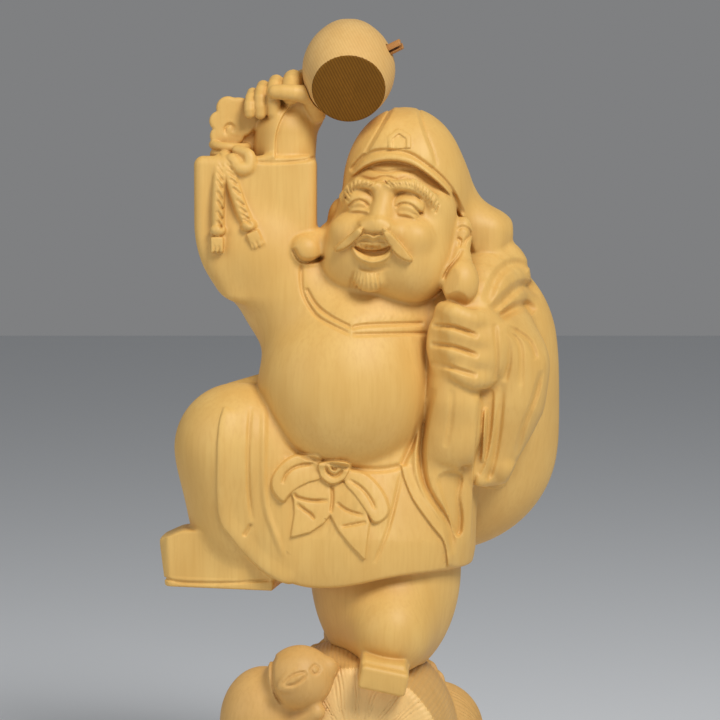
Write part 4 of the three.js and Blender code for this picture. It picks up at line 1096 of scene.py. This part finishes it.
def sack():
    """The sack hangs behind the left shoulder, and its neck runs over it to the hand."""
    bag = blend(8, egg([16, 13, 41.6], [20.6, 13, 19.6]), egg([20.8, 9.5, 57.6], [15.4, 12, 17.8]))
    neck = strand([[24, 3, 71], [21.6, -6, 67], [18.2, -10.4, 60], [17.6, -11.4, 51]], [7, 5, 3.6, 3.4])
    end = egg([17.6, -10.6, 46.6], [4.6, 3.4, 7.4])
    lining = limb([22.6, -6.5, 50], 3, [21.6, -6.5, 38], 2.2)
    lapel = strand([[16.4, -5, 67], [16, -7.4, 58], [15.4, -8.2, 50], [14, -8.6, 42]], [3.2, 3.4, 3, 2.6])
    return blend(3, bag, neck, end, lining, lapel)


def figure():
    bow = [
        *(patch(points, 0.6, 1) for points in BOW_LOOPS),
        *(patch(points, 0.4, 0.6, smooth=False) for points in BOW_TAILS),
        patch(BOW_KNOT, 0.6, 1.5),
    ]
    collar = cut(COLLAR, 0.6, 0.45, 0.08)
    body = drawn(
        drawn(blend(1.2, torso(), skirt()), bow, back=-4),
        [*collar, *cut(BELLY, 0.9, 0.6, 0.06), *cut(BOW_LINES, 0.5, 0.5)],
    )
    legs = blend(1, standing_leg(), raised_leg())
    knee_lines = [*cut(PANELS, 0.6, 0.4), *ridge(PANEL_RIDGES, 0.9, 0.4), *cut(SOLE, 0.45, 0.35, 0.05)]
    arm = drawn(
        blend(1.6, resting_arm(), sack()),
        [
            *cut(SLEEVE_FOLDS, 1.4, 0.75),
            *cut(SLEEVE_SEAMS, 0.8, 0.45),
            *step(SLEEVE_HEM, 2.5, 0.6),
            *step(NECK_END, 2, 0.6, 0.35),
            *cut(NECK_FOLDS, 0.8, 0.35),
            *ridge(SLEEVE_LIP, 0.6, 0.3),
            *ridge(SLEEVE_LINING, 0.6, 0.6),
            patch(SLEEVE_MOUTH, 0.6, -0.2),
        ],
        back=8,
    )
    clothes = drawn(
        blend(1, body, arm),
        [
            *step(ROBE_HEM, 2, 0.5, 0.06),
            *cut([ROBE_FOLD], 1.1, 1),
            *ridge([ROBE_ROLL], 0.9, 0.4),
            *step(ROBE_EDGE, 2, 0.4),
            patch(RECESS, 1, -0.8),
        ],
        back=-2,
    )
    # The torso is in the sleeve's field too, for a broad fillet, so the collar is cut in both
    arm_lines = [*cut(SLEEVE_RIM, 0.5, 0.4), *step(FIST_HEEL, 3, 0.7), *cut(LOBE_CREASE, 0.7, 0.6, 0.15)]
    sleeve = drawn(blend(2.5, raised_arm(), torso()), [*arm_lines, *collar])
    lower = drawn(blend(0.5, clothes, legs), [*step([KNEE_HEM], 3, 0.5, 0.1), *knee_lines], back=-2)
    return blend(0.7, lower, sleeve, fist(), pommel_and_cords(), resting_hand(), head_with_cap())


# The base and the mallet, whose barrels are turned about Y


def modules(length):
    return length / MODULE


def aimed(direction):
    """The rotation that sets the Y axis along a direction."""
    return np.array(Vector((0, 1, 0)).rotation_difference(Vector(direction)).to_matrix())


def barrel(length, middle, end, edge, dome, straws=0, grow=0):
    """A barrel about Y that bulges in the middle, with rounded edges, and straws on its side and ends."""
    half = length / 2 + grow
    straight = length / 2 - edge

    def distance(points, box, reach):
        across = np.hypot(points[:, 0], points[:, 2])
        y = np.abs(points[:, 1])
        radius = end + (middle - end) * np.cos(np.minimum(y / straight, 1) * np.pi / 2) + grow
        rise = dome * np.maximum(1 - across / end, 0)
        if straws:
            # The straws wander a little and differ in depth, and half as many reach the middle of an end
            angle = np.arctan2(points[:, 0], points[:, 2])
            angle = angle + 0.02 * np.sin(0.5 * across + 9 * angle)
            strands = np.where(across > 0.5 * end, straws, straws / 2)
            furrow = 1 - np.abs(np.sin(strands * angle / 2))
            radius = radius - STRAW_DEPTH / 2 * furrow
            rise = rise - STRAW_DEPTH * (0.7 + 0.5 * np.sin(23 * angle)) * furrow
        return eased(across - radius + edge, y - half - rise + edge, edge)

    size = np.array([middle + grow, half + dome, middle + grow])
    return Field(distance, -size, size)


def rope(radius, thickness, offset, turns):
    """A twisted rope round a barrel."""

    def distance(points, box, reach):
        across = np.hypot(points[:, 0], points[:, 2]) - radius
        along = points[:, 1] - offset
        around = np.arctan2(points[:, 0], points[:, 2])
        twist = np.cos(2 * np.arctan2(across, along) - turns * around)
        return np.hypot(across, along) - thickness + TWIST_DEPTH * (1 + twist)

    size = np.array([radius + thickness, thickness, radius + thickness])
    return Field(distance, np.array([0, offset, 0]) - size, np.array([0, offset, 0]) + size)


FRONT_BALE = [modules(v) for v in (FRONT_BALE_LENGTH, BALE_RADIUS, BALE_END_RADIUS, FRONT_BALE_EDGE)]
CROSS_BALE = [
    modules(v) for v in (CROSS_BALE_LENGTH, CROSS_BALE_RADIUS, CROSS_BALE_END_RADIUS, CROSS_BALE_EDGE)
]
MALLET_BARREL = [modules(v) for v in (MALLET_LENGTH, MALLET_RADIUS, MALLET_END_RADIUS, MALLET_EDGE)]
DOME = modules(BALE_DOME)
CLEAR = modules(GAP)

front_height = BALE_TOP - modules(BALE_RADIUS)
ground_top = front_height - modules(BALE_RADIUS) + modules(BALE_SINK)
cross_height = ground_top + modules(CROSS_BALE_RADIUS) - modules(BALE_SINK)
FRONT_PLACE = ([1.6, 0.2, front_height], aimed([0.07, 1, 0]))
CROSS_PLACE = ([0.4, 13, cross_height], aimed([1, -0.14, 0]))
MALLET_PLACE = (MALLET_CENTRE, aimed([0, math.cos(MALLET_SLOPE), math.sin(MALLET_SLOPE)]))
HANDLE_PLACE = (MALLET_CENTRE, aimed(HANDLE_AXIS))
HANDLE_TOP = modules(MALLET_RADIUS + HANDLE_PROUD)
HANDLE_DEPTH = FIST_REACH + modules(HANDLE_GRIP)


def belt_at(share, length, middle, end, edge):
    """A barrel's radius at a share of its half length, and how far that lies from its middle."""
    return end + (middle - end) * math.cos(share * math.pi / 2), share * (length / 2 - edge)


def front_bale(grow=0, straws=0):
    return place(barrel(*FRONT_BALE, DOME, straws, grow), *FRONT_PLACE)


def front_rope():
    radius, offset = belt_at(FRONT_ROPE_AT, *FRONT_BALE)
    knot = egg([-3.6, offset, radius + 0.1], [modules(KNOT_RADIUS)] * 3)
    band = rope(radius, modules(ROPE_RADIUS), offset, FRONT_TWISTS)
    return place(blend(0.4, band, knot), *FRONT_PLACE)


def cross_bale():
    radius, offset = belt_at(CROSS_ROPE_AT, *CROSS_BALE)
    ropes = [rope(radius, modules(ROPE_RADIUS), side * offset, CROSS_TWISTS) for side in (-1, 1)]
    return place(blend(0.3, barrel(*CROSS_BALE, DOME, CROSS_STRAWS), *ropes), *CROSS_PLACE)


def ground():
    rx, ry = modules(SLAB_LENGTH) / 2, modules(SLAB_WIDTH) / 2
    half = modules(SLAB_HEIGHT) / 2
    ease = 0.5

    def distance(points, box, reach):
        x, y = points[:, 0], points[:, 1]
        near = np.hypot(x / rx, y / ry)
        slope = np.maximum(np.hypot(x / rx**2, y / ry**2), 1e-4)
        return eased(near * (near - 1) / slope + ease, np.abs(points[:, 2]) - half + ease, ease)

    size = np.array([rx, ry, half])
    return place(Field(distance, -size, size), [0, GROUND_BACK, ground_top - half])


def mouse():
    body = blend(
        3,
        egg([-14.6, -10.5, -4], [7.4, 7.8, 9.4]),
        egg([-16.6, -11.5, -15], [7, 8, 11]),
        egg([-19.5, -14.5, -22], [4.5, 5.5, 4.5]),
    )
    face = blend(
        1.5,
        egg([-8.4, -15, 4.4], [5.7, 5.6, 5.4], [0, -8, 0]),
        limb([-6.8, -15.4, 5], 3.6, [-3.4, -15.8, 6.3], 1.5),
    )
    ears = [egg([-9.6, y, 4.6], [2.6, 0.8, 1.3], [0, -28, 0]) for y in (-20, -10)]
    paw = limb([-9.4, -15, -4], 2, [-5.6, -17, -1], 1.5)
    route = [[-21, -9, -22], [-25, -3, -24.6], [-24, 6, -24.8], [-21, 12, -24.6]]
    tail = strand(route, [1.3, 1.1, 0.9, 0.6])
    return blend(1, blend(2, body, face), *ears, paw, tail)


def base():
    carved_mouse = drawn(mouse(), [*cut(MOUSE_LINES, 0.55, 0.4), *cut([MOUSE_EYE], 0.4, 0.3, 0)])
    return blend(0.35, front_bale(straws=FRONT_STRAWS), front_rope(), cross_bale(), ground(), carved_mouse)


def mallet_barrel(grow=0):
    return place(barrel(*MALLET_BARREL, 0, 0, grow), *MALLET_PLACE)


def rod(radius, low, high):
    """A rod along the handle's line."""
    middle = (low + high) / 2
    return place(disc([0, middle, 0], radius, (high - low) / 2, 0.12), *HANDLE_PLACE)


def carved_figure():
    bore = rod(modules(HANDLE_RADIUS) + CLEAR, -HANDLE_DEPTH - CLEAR, 2 * HANDLE_TOP)
    return carve(0.05, figure(), bore, mallet_barrel(CLEAR), front_bale(CLEAR))


def mallet_head():
    return carve(0.1, mallet_barrel(), rod(modules(HANDLE_RADIUS) + CLEAR, -2 * HANDLE_TOP, 2 * HANDLE_TOP))


def mallet_handle():
    kerf = slab([0, HANDLE_TOP, 0], [4, 1.5 * modules(HANDLE_PROUD), modules(HANDLE_KERF) / 2], 0.05)
    return carve(0.05, rod(modules(HANDLE_RADIUS), -HANDLE_DEPTH, HANDLE_TOP), place(kerf, *HANDLE_PLACE))


# Pieces and their meshes


def linked(name, data):
    thing = bpy.data.objects.new(name, data)
    bpy.context.scene.collection.objects.link(thing)
    return thing


def rows_of(items, name):
    """A vector of each item of a mesh, as rows."""
    values = np.zeros(len(items) * 3)
    items.foreach_get(name, values)
    return values.reshape(-1, 3)


def thin(piece, triangles):
    count = sum(len(p.vertices) - 2 for p in piece.data.polygons)
    if count <= triangles:
        return
    modifier = piece.modifiers.new("thin", "DECIMATE")
    modifier.ratio = triangles / count
    modifier.use_collapse_triangulate = True
    dressed = piece.evaluated_get(bpy.context.evaluated_depsgraph_get())
    mesh = bpy.data.meshes.new_from_object(dressed)
    piece.modifiers.clear()
    piece.data = mesh


def boxed(field):
    """The field, kept inside the box round the solids."""
    low, high = ((np.array(corner) - ORIGIN) / MODULE for corner in cad_box)
    middle, half = (low + high) / 2, (high - low) / 2 - BOX_MARGIN

    def beyond(x, y, z):
        across = np.maximum(np.abs(x - middle[0]) - half[0], np.abs(y - middle[1]) - half[1])
        return np.maximum(across, np.abs(z - middle[2]) - half[2])

    return trim(0.1, field, beyond)


def carved_piece(name, field, steps, triangles, materials):
    vertices, quads = surface(boxed(field), steps)
    mesh = bpy.data.meshes.new(name)
    mesh.vertices.add(len(vertices))
    mesh.vertices.foreach_set("co", (ORIGIN + vertices * MODULE).ravel())
    mesh.loops.add(quads.size)
    mesh.loops.foreach_set("vertex_index", quads.ravel())
    mesh.polygons.add(len(quads))
    mesh.polygons.foreach_set("loop_start", np.arange(0, quads.size, 4))
    mesh.polygons.foreach_set("loop_total", np.full(len(quads), 4))
    mesh.update(calc_edges=True)
    piece = linked(name, mesh)
    thin(piece, triangles)
    piece.data.name = name
    piece.data.shade_smooth()
    for material in materials:
        piece.data.materials.append(material)
    # Painted shade: each vertex's openness darkens its tone in the hollows
    painted_hollow_shade(piece, field)
    return piece


# How far in front of a vertex its openness, which sets the painted shade in the hollows, is measured, each
# time with a reach, in modules

OPEN_AT = ((0.5, 1), (2.4, 3))


def painted_hollow_shade(piece, field):
    """Writes how open each vertex lies, from 0 in a narrow hollow to 1, for the painted shade in the wood's
    tone.
    """
    at = (rows_of(piece.data.vertices, "co") - ORIGIN) / MODULE
    normal = rows_of(piece.data.vertex_normals, "vector")
    near, far = (sampled(field, at + away * normal, reach) / away for away, reach in OPEN_AT)
    shade_openness = np.clip(0.5 * near + 0.5 * far, 0, 1)
    layer = piece.data.attributes.new("shade_openness", "FLOAT", "POINT")
    layer.data.foreach_set("value", shade_openness.astype(FLOAT))


# Wood: a warm tone with mottling and long fine grain, and painted shade that darkens the hollows


class Nodes:
    """A material's node tree, built by short calls."""

    def __init__(self, name):
        self.material = bpy.data.materials.new(name)
        self.material.use_nodes = True
        self.tree = self.material.node_tree
        self.shader = self.tree.nodes["Principled BSDF"]

    def add(self, kind, **inputs):
        node = self.tree.nodes.new(kind)
        for name, value in inputs.items():
            self.feed(node, name.replace("_", " "), value)
        return node

    def feed(self, node, name, value):
        """Sets the input of this name or number, or links it to another node's output."""
        socket = node.inputs[name]
        if isinstance(value, bpy.types.NodeSocket):
            self.tree.links.new(value, socket)
        else:
            socket.default_value = value

    def mix(self, share, a, b):
        node = self.add("ShaderNodeMix")
        node.data_type = "RGBA"
        for index, value in ((0, share), (6, a), (7, b)):
            self.feed(node, index, value)
        return node.outputs[2]

    def ranged(self, value, low, high, to_low=0.0, to_high=1.0):
        node = self.add("ShaderNodeMapRange")
        for index, number in enumerate((value, low, high, to_low, to_high)):
            self.feed(node, index, number)
        return node.outputs[0]


def wood(name, tones, stripes=0.0, sheen=0.5):
    """Stripes are year rings across the wood, as a share of its darkest tone."""
    light, dark, rings_and_painted_shade = ((*tone, 1) for tone in tones)
    nodes = Nodes(name)
    where = nodes.add("ShaderNodeTexCoord").outputs["Object"]
    turned = nodes.add("ShaderNodeMapping", Vector=where, Scale=(1, 1, 0.06))
    streaks = nodes.add("ShaderNodeTexNoise", Vector=turned.outputs[0], Scale=900.0, Detail=3.0)
    rings = nodes.add("ShaderNodeTexNoise", Vector=turned.outputs[0], Scale=130.0, Detail=2.0)
    mottling = nodes.add("ShaderNodeTexNoise", Vector=where, Scale=45.0, Detail=3.0)
    layers = ((mottling, 0.35, 0.65, 0.5), (rings, 0.4, 0.65, 0.4), (streaks, 0.45, 0.7, 0.45))
    tone = light
    for noise, low, high, most in layers:
        tone = nodes.mix(nodes.ranged(noise.outputs[0], low, high, 0.0, most), tone, dark)
    if stripes:
        across = nodes.add("ShaderNodeMapping", Vector=where, Rotation=RING_TURN)
        years = nodes.add("ShaderNodeTexWave", Vector=across.outputs[0], Scale=340.0, Distortion=2.0)
        nodes.feed(years, "Detail", 2.0)
        nodes.feed(years, "Detail Scale", 0.2)
        tone = nodes.mix(nodes.ranged(years.outputs["Fac"], 0.35, 1.0, 0.0, stripes), tone, rings_and_painted_shade)
    # Painted shade: the less open a vertex lies, the more its tone is mixed towards the darkest tone
    shade_openness = nodes.add("ShaderNodeAttribute")
    shade_openness.attribute_name = "shade_openness"
    tone = nodes.mix(nodes.ranged(shade_openness.outputs["Fac"], 0.1, 0.85, 0.55, 0.0), tone, rings_and_painted_shade)
    bump = nodes.add("ShaderNodeBump", Strength=0.2, Distance=0.0002, Height=streaks.outputs[0])
    nodes.feed(nodes.shader, "Base Color", tone)
    nodes.feed(nodes.shader, "Roughness", 0.55)
    nodes.feed(nodes.shader, "Specular IOR Level", sheen)
    nodes.feed(nodes.shader, "Normal", bump.outputs[0])
    return nodes.material


FIGURE_WOOD = wood("figure_wood", FIGURE_TONES)
MALLET_WOOD = wood("mallet_wood", MALLET_TONES, stripes=0.2)
END_GRAIN = wood("mallet_end_grain", END_GRAIN_TONES, stripes=0.6, sheen=0.15)
HANDLE_WOOD = wood("handle_wood", HANDLE_TONES)
BALE_WOOD = wood("bale_wood", BALE_TONES)
# Painted light: a lighter copy of the bale's wood for the front bale's end faces
LIT_BALE_END = wood("bale_end_painted_light", LIT_BALE_END_TONES)


# How far the bale end's lighter wood, painted light, reaches behind the bale's edge and before its face, in
# modules

LIT_END_BEHIND = 1.2
LIT_END_BEFORE = 0.3


def second_material(piece, centre, axis, radius, least, most):
    """The faces that look along an axis, near it and between two distances, get the second material."""
    faces = piece.data.polygons
    off = (rows_of(faces, "center") - ORIGIN) / MODULE - centre
    along = off @ axis
    away = np.linalg.norm(off - along[:, None] * axis, axis=1)
    facing = rows_of(faces, "normal") @ axis > 0.5
    chosen = facing & (along > least) & (along < most) & (away < radius)
    faces.foreach_set("material_index", chosen.astype(np.int32))


def settled(piece, node):
    """The piece stands for a solid of the frame, which it hides, and hangs on the root."""
    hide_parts(node)
    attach(piece, "root")


figure_piece = carved_piece("carved_figure", carved_figure(), *FIGURE_MESH, [FIGURE_WOOD])
base_piece = carved_piece("bales_and_mouse", base(), *BASE_MESH, [BALE_WOOD, LIT_BALE_END])
head_piece = carved_piece("mallet_barrel", mallet_head(), *MALLET_MESH, [MALLET_WOOD, END_GRAIN])
handle_piece = carved_piece("mallet_stick", mallet_handle(), *HANDLE_MESH, [HANDLE_WOOD])
mallet_axis = -MALLET_PLACE[1][:, 1]
second_material(head_piece, MALLET_CENTRE, mallet_axis, modules(MALLET_RADIUS), 0, modules(MALLET_LENGTH))
bale_axis = -FRONT_PLACE[1][:, 1]
# The front bale's end faces take the lighter copy, painted light
lit_end_from = modules(FRONT_BALE_LENGTH) / 2 - LIT_END_BEHIND
lit_end_to = modules(FRONT_BALE_LENGTH) / 2 + DOME + LIT_END_BEFORE
second_material(base_piece, FRONT_PLACE[0], bale_axis, modules(BALE_END_RADIUS), lit_end_from, lit_end_to)
settled(figure_piece, "figure")
settled(base_piece, "rice_bale_base")
settled(head_piece, "mallet_head")
settled(handle_piece, "mallet_handle")


# The pale floor, the soft studio light and the camera


def plain(name, color, roughness=0.9):
    nodes = Nodes(name)
    nodes.feed(nodes.shader, "Base Color", color)
    nodes.feed(nodes.shader, "Roughness", roughness)
    return nodes.material


def floor():
    bpy.ops.mesh.primitive_plane_add(size=FLOOR_SIZE)
    plane = bpy.context.object
    plane.name = "floor"
    plane.data.materials.append(plain("floor", (*FLOOR_COLOUR, 1)))
    plane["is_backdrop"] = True


def softbox(name, place_at, size, power):
    light = bpy.data.lights.new(name, "AREA")
    light.size = size
    light.energy = power
    lamp = linked(name, light)
    lamp.location = place_at
    lamp.rotation_euler = (Vector(LIGHT_AIM) - Vector(place_at)).to_track_quat("-Z", "Y").to_euler()


def sky():
    world = bpy.data.worlds.new("world")
    world.use_nodes = True
    background = world.node_tree.nodes["Background"]
    background.inputs[0].default_value = (*SKY_COLOUR, 1)
    background.inputs[1].default_value = SKY_STRENGTH
    bpy.context.scene.world = world


def camera():
    data = bpy.data.cameras.new("camera")
    data.sensor_width = SENSOR_MM
    data.lens = SENSOR_MM * EYE_DISTANCE / (PHOTO_PIXELS / PIXELS_PER_MODULE)
    eye = linked("camera", data)
    eye.location = ORIGIN + EYE * MODULE
    eye.rotation_euler = Vector(FORWARD).to_track_quat("-Z", "Y").to_euler()
    bpy.context.scene.camera = eye


floor()
softbox("key", *KEY_LIGHT)
softbox("side", *SIDE_LIGHT)
sky()
bpy.context.scene.view_settings.view_transform = "Standard"
camera()

dressed_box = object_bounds()
boxes = {"cad": cad_box, "visual": dressed_box}
{name: [list(corner) for corner in box] for name, box in boxes.items()}
